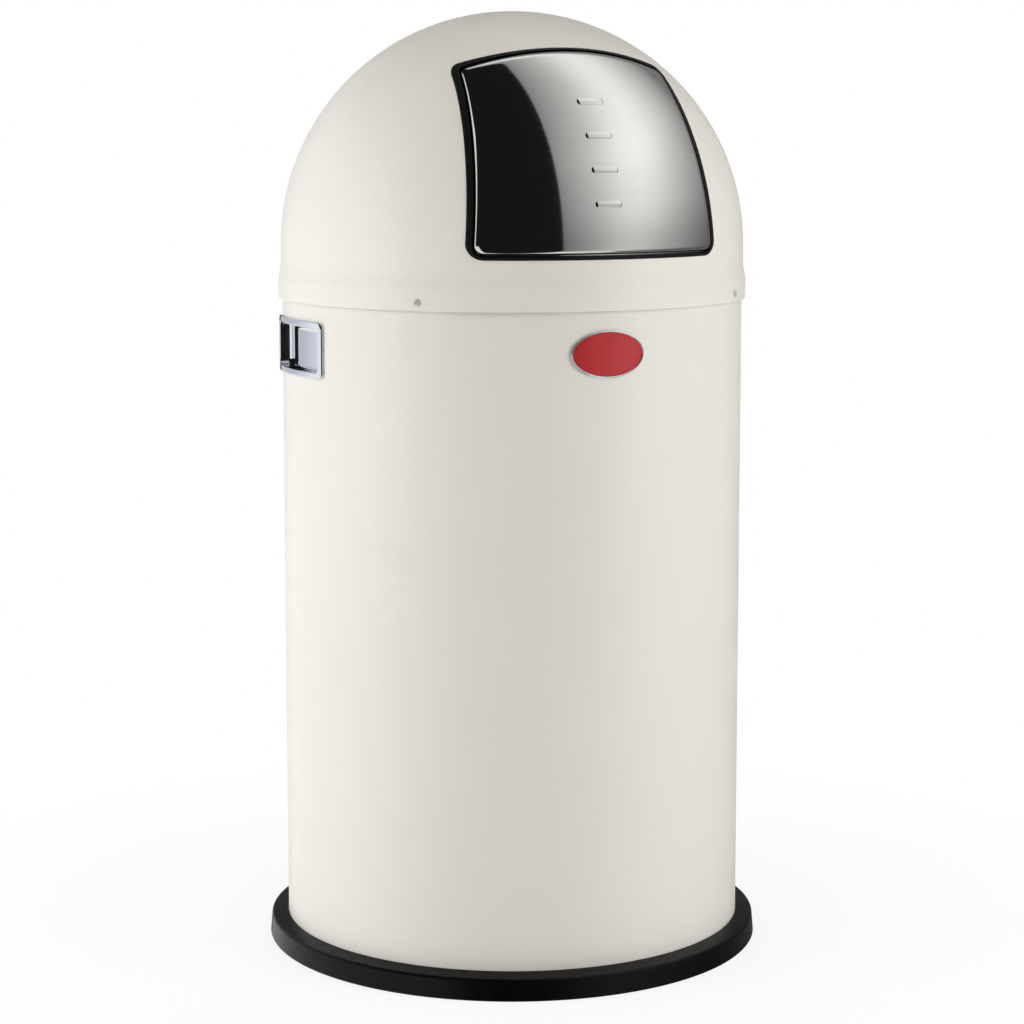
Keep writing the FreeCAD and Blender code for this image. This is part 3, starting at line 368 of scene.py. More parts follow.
addPiece("basePlate", [pressedPan(basePlate)], "bin", [galvanised], ["base_plate"])
print("drum, base ring and plate made")


# side grips: a proud frame that turns down into a cup, then the cup's outside back to its floor;
# hold keeps the face flat up to its edge, and leastRound keeps the fillet's corners round
grip = {"middle": 491.0, "halfLength": 51.0, "halfTall": 22.25, "round": 5.0, "bar": 5.0,
        "cupRound": 4.0, "face": 189.0, "seat": 186.05, "floor": 178.5, "fillet": 4.5,
        "back": 177.1, "wall": 1.4, "edge": 1.2, "lip": 1.0, "hold": 0.4, "seatBevel": 0.2,
        "backBevel": 1.0, "leastRound": 1.2, "shrink": (0.04, 0.97), "perCorner": 14,
        "perSide": 40, "perArc": 8, "perFloor": 12}


def gripLoop(g, inset, corner):
    # rounded rectangle in (across, up), sampled so that every loop's points answer each other
    halfLength, halfTall = g["halfLength"] - inset, g["halfTall"] - inset
    quarter = np.linspace(0, np.pi / 2, g["perCorner"])
    corners = []
    for k, (sx, sz) in enumerate(((1, 1), (-1, 1), (-1, -1), (1, -1))):
        angle = quarter + k * np.pi / 2
        corners.append(np.stack([sx * (halfLength - corner) + corner * np.cos(angle),
                                 sz * (halfTall - corner) + corner * np.sin(angle)], -1))
    corners = np.array(corners)
    shares = np.linspace(0, 1, g["perSide"] + 2)[None, 1:-1, None]
    runs = corners[:, -1:] * (1 - shares) + np.roll(corners, -1, 0)[:, :1] * shares
    return np.concatenate([corners, runs], 1).reshape(-1, 2)


def gripSurface(g):
    # loops as (inset, corner radius, radius from the drum's axis), from the floor over fillet,
    # lip, face and edge to the seat and the cup's back; both ends shrink to their middle, and
    # each point bends round the drum: (sqrt(r squared - across squared), across, up)
    turn = np.linspace(0, np.pi / 2, g["perArc"])
    arc = list(zip(1 - np.sin(turn), 1 - np.cos(turn)))
    fillet, lip, edge, seatBevel = g["fillet"], g["lip"], g["edge"], g["seatBevel"]
    floorArc = [(g["bar"] + fillet * c, max(g["cupRound"] - fillet * c, g["leastRound"]),
                 g["floor"] + fillet * s) for s, c in arc]
    lipArc = [(g["bar"] - lip * s, g["cupRound"] + lip * s, g["face"] - lip * c) for s, c in arc]
    edgeArc = [(edge * s, g["round"] - edge * s, g["face"] - edge * c) for s, c in arc]
    cup, cupRound = g["bar"] - g["wall"], g["cupRound"] + g["wall"]
    rows = floorArc[::-1]
    rows += [(g["bar"], g["cupRound"], (g["face"] + g["floor"] + fillet) / 2)] + lipArc[::-1]
    rows += [(g["bar"] - 2 * lip, g["cupRound"] + lip, g["face"]),
             (edge + g["hold"], g["round"] - edge - g["hold"], g["face"])] + edgeArc
    rows += [(0.0, g["round"], g["seat"] + seatBevel),
             (seatBevel, g["round"] - seatBevel, g["seat"]),
             (cup, cupRound, g["seat"]), (cup, cupRound, g["back"] + g["backBevel"]),
             (cup + g["backBevel"], cupRound - g["backBevel"], g["back"])]
    outlines = np.array([gripLoop(g, inset, corner) for inset, corner, radius in rows])
    radii = np.array([radius for inset, corner, radius in rows])
    shrink = np.linspace(*g["shrink"], g["perFloor"])[:, None, None]
    outlines = np.concatenate([outlines[:1] * shrink, outlines, outlines[-1:] * shrink[::-1]])
    radii = np.concatenate([np.full(len(shrink), g["floor"]), radii,
                            np.full(len(shrink), g["back"])])[:, None]
    across, up = outlines[..., 0], outlines[..., 1]
    loops = np.stack([np.sqrt(radii ** 2 - across ** 2), across, up + g["middle"]], -1)
    return loopSurface(loops, (g["floor"], 0, g["middle"]), (g["back"], 0, g["middle"]))


gripSides = [gripSurface(grip)]
addPiece("rightGrip", gripSides, "bin", [chromePlate], ["right_grip"])
addPiece("leftGrip", mirrorX(gripSides), "bin", [chromePlate], ["left_grip"])

# front badge: an oval enamel field, bare, in a bright raised rim, on two studs
badge = {"middle": 494.0, "halfWidth": 30.0, "halfTall": 18.0, "seat": 186.05, "face": 188.0,
         "rim": 1.3, "rimRise": 0.75, "fieldDrop": 0.9, "swell": 0.55, "drawIn": 0.995,
         "studAcross": 15.0, "studRadius": 1.5, "studEnd": 178.0, "studRows": 6, "studSides": 20,
         "cols": 160, "rimRows": 12, "fieldRows": 25}


def badgeSurfaces(b):
    # ovals drawn in by an inset, each at a radius from the drum's axis; the rim rises and falls
    # by a sine over half a turn, and the field swells by one over a quarter
    t = np.linspace(0, 2 * np.pi, b["cols"], endpoint=False)

    def oval(inset, radius):
        across, up = (b["halfWidth"] - inset) * np.cos(t), (b["halfTall"] - inset) * np.sin(t)
        return np.stack([across, -np.sqrt(radius ** 2 - across ** 2), up + b["middle"]], -1)

    rimFoot, fieldFoot = b["face"] - b["rimRise"], b["face"] - b["fieldDrop"]
    rimLoops = [oval(b["rim"] * (1 - np.cos(k)) / 2, rimFoot + b["rimRise"] * np.sin(k))
                for k in np.linspace(0, np.pi, b["rimRows"])]
    rimLoops = [oval(0.0, b["seat"])] + rimLoops + [oval(b["rim"], b["seat"])]
    # the field's loops draw in towards the oval's middle line, a short seam that a fan shuts
    reach = (b["halfTall"] - b["rim"]) * b["drawIn"]
    field = [oval(b["rim"] + share * reach, fieldFoot + b["swell"] * np.sin(share * np.pi / 2))
             for share in np.linspace(0, 1, b["fieldRows"], endpoint=False)]
    field = [oval(b["rim"], b["seat"])] + field
    crown = (0, -(fieldFoot + b["swell"]), b["middle"])
    surfaces = [loopSurface(rimLoops, closeRows=True, paint=1),
                loopSurface(field, (0, -b["seat"], b["middle"]), crown)]
    depth = np.linspace(-b["seat"], -b["studEnd"], b["studRows"])
    for across in (-b["studAcross"], b["studAcross"]):
        path = np.stack([np.full(len(depth), across), depth, np.full(len(depth), b["middle"])], -1)
        surfaces.append(dict(tube(path, upright, b["studRadius"], b["studSides"]), paint=1))
    return surfaces


addPiece("frontBadge", badgeSurfaces(badge), "bin", [redEnamel, chromePlate],
         ["front_badge"])
print("grips and badge made")


# the flap opening's outline seen from the front: a level sill, bowed sides and an arched top;
# counts are the points on half the sill, a lower corner, a side, an upper corner and half the arch
opening = {"radius": 187.0, "middle": 568.0, "sill": -3.0, "low": 104.346, "high": 88.638,
           "corner": 141.559, "apex": 155.958, "bow": 1496.0, "round": 12.0, "heart": 70.0,
           "counts": (48, 20, 70, 20, 56)}


def arcPoints(centre, radius, start, end, count, last=False):
    # points on a circle from one direction to another, the short way
    a = math.atan2(start[1] - centre[1], start[0] - centre[0])
    b = math.atan2(end[1] - centre[1], end[0] - centre[0])
    b = a + (b - a + math.pi) % (2 * math.pi) - math.pi
    t = np.linspace(a, b, count, endpoint=last)
    return np.stack([centre[0] + radius * np.cos(t), centre[1] + radius * np.sin(t)], -1)


def openingLoop(side, bottom, top, o=opening):
    # the outline drawn in by these widths; corner arcs touch the sill, side bows and arch,
    # their centres lying where those curves meet once drawn in by the corner's radius
    low, high = o["low"] - side, o["high"] - side
    sill, corner = o["sill"] + bottom, o["corner"] - top
    rise, corners = o["apex"] - o["corner"], o["round"] - side
    archRadius = (rise ** 2 + high ** 2) / (2 * rise)
    arch = np.array([0.0, corner + rise - archRadius])
    foot, head = np.array([low, sill]), np.array([high, corner])
    chord = head - foot
    normal = np.array([-chord[1], chord[0]]) / np.linalg.norm(chord)
    bow = (foot + head) / 2 + normal * math.sqrt(o["bow"] ** 2 - (chord @ chord) / 4)
    inBow, lowUp = o["bow"] - corners, sill + corners
    lowCentre = np.array([bow[0] + math.sqrt(inBow ** 2 - (lowUp - bow[1]) ** 2), lowUp])
    apart = arch - bow
    gap = np.linalg.norm(apart)
    along = (inBow ** 2 - (archRadius - corners) ** 2 + gap ** 2) / (2 * gap)
    height = math.sqrt(inBow ** 2 - along ** 2)
    across = np.array([-apart[1], apart[0]]) / gap
    meets = [bow + apart / gap * along + across * height * k for k in (1, -1)]
    highCentre = max(meets, key=lambda point: point[0] + point[1])
    lowEnd = bow + (lowCentre - bow) / np.linalg.norm(lowCentre - bow) * o["bow"]
    highStart = bow + (highCentre - bow) / np.linalg.norm(highCentre - bow) * o["bow"]
    highEnd = arch + (highCentre - arch) / np.linalg.norm(highCentre - arch) * archRadius
    sillEnd = np.array([lowCentre[0], sill])
    onSill, onLow, onSide, onHigh, onArch = o["counts"]
    right = np.vstack([
        np.stack([np.linspace(0, sillEnd[0], onSill, endpoint=False), np.full(onSill, sill)], -1),
        arcPoints(lowCentre, corners, sillEnd, lowEnd, onLow),
        arcPoints(bow, o["bow"], lowEnd, highStart, onSide),
        arcPoints(highCentre, corners, highStart, highEnd, onHigh),
        arcPoints(arch, archRadius, highEnd, (0.0, corner + rise), onArch, True)])
    return np.vstack([right, right[-2:0:-1] * [-1, 1]])


def onBall(flat, radius, o=opening):
    # a front view's point (across, up) carried forward to a sphere about the dome's centre
    across, up = flat[..., 0], flat[..., 1]
    return np.stack([across, -np.sqrt(radius ** 2 - across ** 2 - up ** 2), up + o["middle"]], -1)


# dome lid: from the opening's edge to a seam under the equator, then wall, joggle and skirt, and
# back inside
dome = {"sheet": 0.8, "edge": (2.42, 1.32, 0.99), "seam": 564.0, "seamGap": 1.0, "joggle": 553.0,
        "skirt": 189.0, "skirtHigh": 543.0, "skirtLow": 526.5, "slant": 0.4,
        "radii": (tiny, 30.0, 24.0, 0.3, 0.3, 24.0, 30.0, tiny), "rows": 76}


def domeSurface(d, o=opening):
    # great circles run from the opening's heart through each point of its edge: cos a heart +
    # sin a way, from the edge to where that comes down to the seam's height
    edge = onBall(openingLoop(*d["edge"]), o["radius"]) - [0, 0, o["middle"]]
    edge /= o["radius"]
    heart = np.array([0, -math.sqrt(o["radius"] ** 2 - o["heart"] ** 2), o["heart"]]) / o["radius"]
    cosine = edge @ heart
    way = edge - cosine[:, None] * heart
    way /= np.linalg.norm(way, axis=1, keepdims=True)
    fall = (d["seam"] - o["middle"]) / o["radius"] / np.hypot(heart[2], way[:, 2])
    begin, stop = np.arccos(cosine), np.arctan2(way[:, 2], heart[2]) + np.arccos(fall)
    share = np.linspace(0, 1, d["rows"])[:, None]
    angle = (begin + (stop - begin) * share)[..., None]
    unit = np.cos(angle) * heart + np.sin(angle) * way
    inner, skirtIn = o["radius"] - d["sheet"], d["skirt"] - d["sheet"]
    outside = unit * o["radius"] + [0, 0, o["middle"]]
    inside = unit[::-1] * inner + [0, 0, o["middle"]]
    wallTop = d["seam"] - d["seamGap"]
    section = roundCorners([
        (o["radius"], wallTop), (o["radius"], d["joggle"]), (d["skirt"], d["skirtHigh"]),
        (d["skirt"], d["skirtLow"]), (skirtIn, d["skirtLow"]),
        (skirtIn, d["skirtHigh"] - d["slant"]), (inner, d["joggle"] - d["slant"]),
        (inner, wallTop)], d["radii"])
    ends = unit[-1, :, :2] / np.linalg.norm(unit[-1, :, :2], axis=1, keepdims=True)
    heights = np.broadcast_to(section[:, None, 1:], (len(section), len(ends), 1))
    skirt = np.concatenate([section[:, None, :1] * ends[None], heights], -1)
    return loopSurface(np.concatenate([outside, skirt, inside]), closeRows=True)


addPiece("domeLid", [domeSurface(dome)], "lid", [powderCoat], ["dome_shell"])

# rubber edge trim: a soft channel carried round the opening
trim = {"width": (4.4, 2.4, 1.8), "span": 4.0, "out": 188.0, "in": 185.2, "round": 0.8, "steps": 9}


def trimSurface(t):
    # a section of (across its span, radius), the span stretched to the width at each side
    corners = [(0, t["in"]), (t["span"], t["in"]), (t["span"], t["out"]), (0, t["out"])]
    loops = [onBall(openingLoop(*(across / t["span"] * np.array(t["width"]))), radius)
             for across, radius in roundCorners(corners, t["round"], t["steps"])]
    return loopSurface(loops, closeRows=True)


addPiece("openingTrim", [trimSurface(trim)], "lid", [blackRubber], ["opening_trim"])

# push flap: a spherical face, its edge rounded into a wall, a flange behind the trim and the
# hollow back; heel is the small bend from wall to flange, as (out, up) from their corner
flap = {"inset": (5.6, 4.6, 2.8), "face": 190.0, "back": 189.2, "sheet": 0.8, "edgeRound": 3.0,
        "heel": ((0.0, 0.8), (0.3, 0.2), (0.8, 0.0)), "flange": (7.0, 7.0, 3.5),
        "flangeOut": 184.85, "flangeIn": 184.05, "flangeEdge": 0.25, "flangeShares": (0.5, 0.95),
        "wallFoot": 1.0, "shrink": (0.02, 0.985), "perBend": 10, "faceRows": 56}


def flapSurface(f, o=opening):
    # loops as (widths that the opening is drawn in by, radius), from the rounded edge to the
    # hollow; face and back shrink to the opening's heart
    inset, flange = np.array(f["inset"]), np.array(f["flange"])
    wall, hollow = inset + f["sheet"], f["edgeRound"] - f["sheet"]
    bend = np.linspace(0, np.pi / 2, f["perBend"])
    arc = list(zip(1 - np.sin(bend), 1 - np.cos(bend)))
    rows = [(inset + f["edgeRound"] * s, f["face"] - f["edgeRound"] * c) for s, c in arc]
    rows += [(inset - out, f["flangeOut"] + up) for out, up in f["heel"]]
    rows += [(inset - flange * k, f["flangeOut"]) for k in f["flangeShares"]]
    rows += [(inset - flange, f["flangeOut"] - f["flangeEdge"]),
             (inset - flange, f["flangeIn"] + f["flangeEdge"])]
    rows += [(inset - flange * k, f["flangeIn"]) for k in f["flangeShares"][::-1]]
    rows += [(wall, f["flangeIn"]), (wall, f["flangeIn"] + f["wallFoot"])]
    rows += [(wall + hollow * s, f["back"] - hollow * c) for s, c in arc[::-1]]
    flat = [(openingLoop(*widths), radius) for widths, radius in rows]
    heart = np.array([0, o["heart"]])
    shares = np.linspace(*f["shrink"], f["faceRows"])
    face = [(heart + (flat[0][0] - heart) * k, f["face"]) for k in shares]
    back = [(heart + (flat[-1][0] - heart) * k, f["back"]) for k in shares[::-1]]
    loops = [onBall(outline, radius) for outline, radius in face + flat + back]
    return loopSurface(loops, onBall(heart, f["face"]), onBall(heart, f["back"]))


# ribs pressed up from the flap's face, their edge sunk a little into it
ribs = {"count": 4, "first": 38.4, "pitch": 25.4, "length": 22.0, "width": 5.0, "rise": 0.7,
        "sink": 0.02, "root": 0.4, "shrink": (0.04, 1.0), "perRun": 24, "rows": 22}


def ribSurface(middle, f=flap, r=ribs):
    # a pill: each point lies out from the pill's middle line by a share of half the width, and
    # its height is the rise times 1 - share squared
    half, straight, count = r["width"] / 2, (r["length"] - r["width"]) / 2, r["perRun"]
    bend = np.linspace(-np.pi / 2, np.pi / 2, count)
    run = np.linspace(straight, -straight, count + 2)[1:-1]
    line = np.concatenate([np.full(count, straight), run, np.full(count, -straight), -run])
    t = np.concatenate([bend, np.full(count, np.pi / 2), bend + np.pi, np.full(count, -np.pi / 2)])
    share = np.linspace(*r["shrink"], r["rows"])[:, None]
    flat = np.stack([line + half * share * np.cos(t), middle + half * share * np.sin(t)], -1)
    crown = onBall(flat, f["face"] + r["rise"] * (1 - share ** 2) - r["sink"])
    root = onBall(flat[-1:], f["face"] - r["root"])
    poles = (onBall(np.array([0.0, middle]), f["face"] + rise) for rise in (
        r["rise"] - r["sink"], -r["root"]))
    return loopSurface(np.concatenate([crown, root]), *poles)


ribMiddles = ribs["first"] + ribs["pitch"] * np.arange(ribs["count"])
addPiece("pushFlap", [flapSurface(flap)] + [ribSurface(middle) for middle in ribMiddles], "flap",
         [polishedStainless], ["flap_panel"])
print("dome, trim and flap made")


# skirt screws: a domed head less a cross, and a plain shank
screw = {"count": 4, "azimuth": 45.0, "height": 533.0, "seat": 189.05, "head": 1.6,
         "headRadius": 2.75, "crown": 0.8, "shankRadius": 1.75, "shankEnd": 177.5, "arm": 1.75,
         "armHalf": 0.42, "armEnd": 0.3, "armSide": 0.16, "sink": 1.0, "firstTurn": 0.4,
         "turnStep": 1.1, "shrink": (0.02, 0.97), "cols": 96, "rows": 40}


def screwSurfaces(s):
    # over (u, v) the head stands head sqrt(1 - crown share squared) high, less the sink times
    # smooth steps 3 x squared - 2 x cubed that run in from the ends and sides of either arm
    t = np.linspace(0, 2 * np.pi, s["cols"], endpoint=False)
    share = np.append(np.linspace(*s["shrink"], s["rows"]), 1.0)[:, None]
    u, v = s["headRadius"] * share * np.cos(t), s["headRadius"] * share * np.sin(t)
    step = lambda x: np.clip(x, 0, 1) ** 2 * (3 - 2 * np.clip(x, 0, 1))
    bar = lambda p, q: (step((s["arm"] - np.abs(p)) / s["armEnd"])
                        * step((s["armHalf"] - np.abs(q)) / s["armSide"] + 0.5))
    cap = s["head"] * np.sqrt(1 - s["crown"] * share ** 2)
    head = np.stack([u, v, cap - s["sink"] * np.maximum(bar(u, v), bar(v, u))], -1)
    under = np.stack([u[-1], v[-1], 0 * t], -1)[None]
    tip = s["shankEnd"] - s["seat"]
    neck = np.array([(s["shankRadius"], 0.0), (s["shankRadius"], tip)])
    shank = np.stack([neck[:, :1] * np.cos(t), neck[:, :1] * np.sin(t), neck[:, 1:] + 0 * t], -1)
    local = np.concatenate([head, under, shank])
    tips = np.array([[0, 0, s["head"] - s["sink"]], [0, 0, tip]])
    surfaces = []
    for number in range(s["count"]):
        azimuth = math.radians(s["azimuth"]) + 2 * math.pi * number / s["count"]
        outWay = np.array([math.cos(azimuth), math.sin(azimuth), 0])
        level = np.array([-math.sin(azimuth), math.cos(azimuth), 0])
        tilt = s["firstTurn"] + s["turnStep"] * number  # each screw stops at its own turn
        first = level * math.cos(tilt) + upright * math.sin(tilt)
        axes = np.array([first, np.cross(outWay, first), outWay])
        seat = outWay * s["seat"] + upright * s["height"]
        surfaces.append(loopSurface(local @ axes + seat, *(tips @ axes + seat)))
    return surfaces


addPiece("skirtScrews", screwSurfaces(screw), "lid", [zincFlake], ["guide_screws"])

# flap springs: a coil round the hinge axle, whose middle is hinge, with straight legs along the
# coil's end tangents
spring = {"hinge": (0.0, -74.9097, 715.0186), "tilt": 27.0, "wireRadius": 0.7, "coil": 4.6,
          "pitch": 2.2, "turns": 4, "outer": 60.7, "backAngle": 12.0, "frontAngle": 6.0,
          "backLeg": 18.0, "frontStop": 188.3, "coilPoints": 240, "legPoints": 11, "sides": 14}


def springSurface(s):
    # a wire along the helix (x, -r sin t, r cos t), where x falls by the pitch at each turn;
    # the whole is tilted about x and set on the hinge
    begin = math.radians(s["backAngle"])
    stop = 2 * math.pi * s["turns"] - math.radians(s["frontAngle"])
    turn = np.linspace(begin, stop, s["coilPoints"])
    along = s["outer"] - s["pitch"] / (2 * math.pi) * (turn - turn[0])
    coil = np.stack([along, -s["coil"] * np.sin(turn), s["coil"] * np.cos(turn)], -1)
    ways = np.stack([0 * turn, -np.cos(turn), -np.sin(turn)], -1)[[0, -1]]
    radial = np.stack([0 * turn, -np.sin(turn), np.cos(turn)], -1)
    # the front leg stops behind the flap's sheet, where it meets a sphere about the dome's centre
    reach = coil[-1] + [0, 0, math.hypot(s["hinge"][1], s["hinge"][2] - opening["middle"])]
    dot = reach @ ways[1]
    frontLeg = math.sqrt(dot ** 2 + s["frontStop"] ** 2 - reach @ reach) - dot
    steps = np.linspace(0, 1, s["legPoints"], endpoint=False)[:, None]
    back = coil[0] - ways[0] * s["backLeg"] * (1 - steps)
    front = coil[-1] + ways[1] * frontLeg * (1 - steps[::-1])
    path = np.concatenate([back, coil, front])
    normals = np.concatenate([np.tile(radial[0], (len(back), 1)), radial,
                              np.tile(radial[-1], (len(front), 1))])
    c, n = math.cos(math.radians(s["tilt"])), math.sin(math.radians(s["tilt"]))
    lean = np.array([[1, 0, 0], [0, c, -n], [0, n, c]])
    return tube(path @ lean.T + s["hinge"], normals @ lean.T, s["wireRadius"], s["sides"])


rightSpring = [springSurface(spring)]
coilEnds = (spring["outer"], spring["outer"] - spring["pitch"] * spring["turns"])
for sign, side, shape in ((1, "right", rightSpring), (-1, "left", mirrorX(rightSpring))):
    start, end = ((sign * x * mm, spring["hinge"][1] * mm, spring["hinge"][2] * mm)
                  for x in coilEnds)
    addPiece(side + "FlapSpring", shape, ("lid", "flap", start, end),
             [springSteel], [side + "_flap_spring"])

# liner: a rolled wall with a wired bead, and a pressed floor
liner = {"radius": 164.0, "sheet": 0.6, "foot": 16.8, "edgeRound": 0.2, "bead": 505.5,
         "beadRadius": 2.5, "beadTrack": 165.9, "beadPoints": 24}
linerFloor = {"top": 25.4, "radius": 163.35, "edge": 16.8, "sheet": 0.6, "bend": 1.4,
              "edgeRound": 0.2, "heart": 2.0}


def linerSurfaces(w):
    # two sections of (radius, height) turned: the wall's sheet, and the bead's circle
    inner = w["radius"] - w["sheet"]
    wall = roundCorners([(w["radius"], w["foot"]), (w["radius"], w["bead"]), (inner, w["bead"]),
                         (inner, w["foot"])], w["edgeRound"])
    t = np.linspace(0, 2 * np.pi, w["beadPoints"], endpoint=False)
    bead = np.stack([w["beadTrack"] + w["beadRadius"] * np.cos(t),
                     w["bead"] + w["beadRadius"] * np.sin(t)], -1)
    return [turned(wall), turned(bead)]


addPiece("linerWall", linerSurfaces(liner), "liner", [galvanised], ["liner_wall"])
addPiece("linerFloor", [pressedPan(linerFloor)], "liner", [galvanised],
         ["liner_floor"])

# bail: one bent wire with an upset head on each end; headRows run along a head's soft edge, as
# (how much short of its radius, depth)
bail = {"height": 510.8, "wireRadius": 2.5, "pin": 157.979, "straight": 163.379, "bend": 4.0,
        "headRadius": 4.0, "head": 1.5, "headCols": 32,
        "headRows": ((0.3, 0.0), (0.0, 0.3), (0.0, 1.0), (0.5, 1.5)), "pinPoints": 10,
        "elbowPoints": 16, "sweepPoints": 120, "sides": 24}


def bailSurfaces(b):
    # the wire in plan: in through the lug, round a small bend, and over the bead on one wide arc;
    # then mirrored
    wide = math.hypot(b["straight"], b["bend"]) + b["bend"]
    meet = math.atan2(b["bend"], b["straight"])
    pin = np.linspace(b["pin"], b["straight"], b["pinPoints"], endpoint=False)
    pin = np.stack([pin, 0 * pin], -1)
    t = np.linspace(-math.pi / 2, meet, b["elbowPoints"], endpoint=False)
    elbow = np.stack([b["straight"] + b["bend"] * np.cos(t), b["bend"] + b["bend"] * np.sin(t)], -1)
    t = np.linspace(meet, math.pi / 2, b["sweepPoints"])
    sweep = wide * np.stack([np.cos(t), np.sin(t)], -1)
    half = np.vstack([pin, elbow, sweep])
    plan = np.vstack([half, half[-2::-1] * [-1, 1]])
    path = np.column_stack([plan, np.full(len(plan), b["height"])])
    surfaces = [tube(path, upright, b["wireRadius"], b["sides"])]
    t = np.linspace(0, 2 * np.pi, b["headCols"], endpoint=False)
    for sign in (1, -1):
        loops = []
        for less, depth in b["headRows"]:
            r, x = b["headRadius"] - less, sign * (b["pin"] - depth)
            loops.append(np.stack([x + 0 * t, r * np.cos(t), b["height"] + r * np.sin(t)], -1))
        ends = [(sign * (b["pin"] - depth), 0, b["height"]) for depth in (0, b["head"])]
        surfaces.append(loopSurface(loops, *ends))
    return surfaces


addPiece("linerBail", bailSurfaces(bail), "bail", [zincPlate], ["liner_bail"])
print("screws, springs, liner and bail made")

# pressed and turned pieces whose solids are right as they are keep their meshes and take these
# finishes
plainFinishes = {
    zincPlate: ["left_hinge_bracket", "right_hinge_bracket", "hinge_axle", "left_flap_ear",
                "right_flap_ear"],
    springSteel: ["left_grip_clip", "right_grip_clip", "badge_clips", "axle_clips"],
    naturalNylon: ["rim_guides", "left_ear_bush", "right_ear_bush"],
    galvanised: ["liner_lugs", "lug_rivets"],
}
for finish, names in plainFinishes.items():
    for name in names:
        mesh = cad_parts[name].data
        mesh.materials.clear()
        mesh.materials.append(finish)
print("plain pieces finished")


# studio, in metres and degrees: a camera, a white room with a floor, soft lights that gloss does
# not see, and glowing cards that only gloss sees, which paint the reflections in glossy surfaces
camera = {"azimuth": -22.9, "distance": 2.1885, "height": 0.6746, "pitch": 7.165, "focal": 94.64,
          "sensor": 36.0, "shift": -0.06}


def aroundCamera(degrees, distance, height):
    # a place that many degrees to the right of the camera, as the object sees it
    angle = math.radians(camera["azimuth"] + degrees)
    return (math.sin(angle) * distance, -math.cos(angle) * distance, height)


def addCamera(c):
    lens = bpy.data.cameras.new("photoCamera")
    lens.sensor_width, lens.lens, lens.shift_y = c["sensor"], c["focal"], c["shift"]
    view = bpy.data.objects.new("photoCamera", lens)
    view.location = aroundCamera(0, c["distance"], c["height"])
    view.rotation_euler = (math.radians(90 - c["pitch"]), 0, math.radians(c["azimuth"]))
    bpy.context.scene.collection.objects.link(view)
    bpy.context.scene.camera = view


def seenDirectly(tree):
    # 1 for rays from the camera and for what gloss and glass show, 0 for light that falls on things
    rays = addNode(tree, "ShaderNodeLightPath", {}).outputs
    both = addNode(tree, "ShaderNodeMath", {0: rays["Is Camera Ray"], 1: rays["Is Glossy Ray"]},
                   operation="MAXIMUM").outputs[0]
    return addNode(tree, "ShaderNodeMath", {0: both, 1: rays["Is Transmission Ray"]},
                   operation="MAXIMUM").outputs[0]


room = {"light": "#FFF2E4", "ambient": 0.3, "backdrop": "#FFFFFF"}


def addRoom(r):
    world = bpy.data.worlds.new("whiteRoom")
    bpy.context.scene.world = world
    world.use_nodes = True
    tree = world.node_tree
    tree.nodes.clear()
    falls = addNode(tree, "ShaderNodeBackground",
                    {"Color": hexColour(r["light"]), "Strength": r["ambient"]}).outputs[0]
    shows = addNode(tree, "ShaderNodeBackground",
                    {"Color": hexColour(r["backdrop"]), "Strength": 1.0}).outputs[0]
    mix = addNode(tree, "ShaderNodeMixShader", {0: seenDirectly(tree), 1: falls, 2: shows})
    addNode(tree, "ShaderNodeOutputWorld", {"Surface": mix.outputs[0]})


# near the object the paper takes its shadow, and further off it goes over to plain white
paper = {"half": 6.0, "colour": "#F4F4F4", "white": "#FFFFFF", "near": 0.2, "far": 0.6,
         "nearWhite": 0.86}


def addFloor(p):
    sheet = bpy.data.materials.new("whitePaper")
    sheet.use_nodes = True
    tree = sheet.node_tree
    tree.nodes.clear()
    matte = addNode(tree, "ShaderNodeBsdfDiffuse", {"Color": hexColour(p["colour"])}).outputs[0]
    white = addNode(tree, "ShaderNodeEmission",
                    {"Color": hexColour(p["white"]), "Strength": 1.0}).outputs[0]
    spot = addNode(tree, "ShaderNodeTexCoord", {}).outputs["Object"]
    away = addNode(tree, "ShaderNodeVectorMath", {0: spot}, operation="LENGTH").outputs["Value"]
    fade = addNode(tree, "ShaderNodeMapRange", {
        "Value": away, "From Min": p["near"], "From Max": p["far"], "To Min": p["nearWhite"],
        "To Max": 1.0}).outputs[0]
    share = addNode(tree, "ShaderNodeMath", {0: seenDirectly(tree), 1: fade},
                    operation="MULTIPLY").outputs[0]
    mix = addNode(tree, "ShaderNodeMixShader", {0: share, 1: matte, 2: white})
    addNode(tree, "ShaderNodeOutputMaterial", {"Surface": mix.outputs[0]})
    mesh = bpy.data.meshes.new("floorPaper")
    corners = [(x * p["half"], y * p["half"], 0) for x, y in ((-1, -1), (1, -1), (1, 1), (-1, 1))]
    mesh.from_pydata(corners, [], [(0, 1, 2, 3)])
    mesh.materials.append(sheet)
    floor = bpy.data.objects.new("floorPaper", mesh)
    floor.visible_glossy = False  # gloss sees the cards and the white room go on below the floor
    bpy.context.scene.collection.objects.link(floor)


# each card's across is counted from where the painted reflection's dark and light halves meet
cards = {"radius": 3.2, "halves": 23.6, "cols": 60, "rows": 40}


def cardFinish(name, colour):
    # a painted reflection: one colour that shines as strongly as the card's own glow says at each
    # point, though the card is no lamp
    finish = bpy.data.materials.new(name)
    finish.use_nodes = True
    tree = finish.node_tree
    tree.nodes.clear()
    glow = addNode(tree, "ShaderNodeAttribute", {}, attribute_name="glow").outputs["Fac"]
    shine = addNode(tree, "ShaderNodeEmission", {"Color": hexColour(colour), "Strength": glow})
    addNode(tree, "ShaderNodeOutputMaterial", {"Surface": shine.outputs[0]})
    return finish


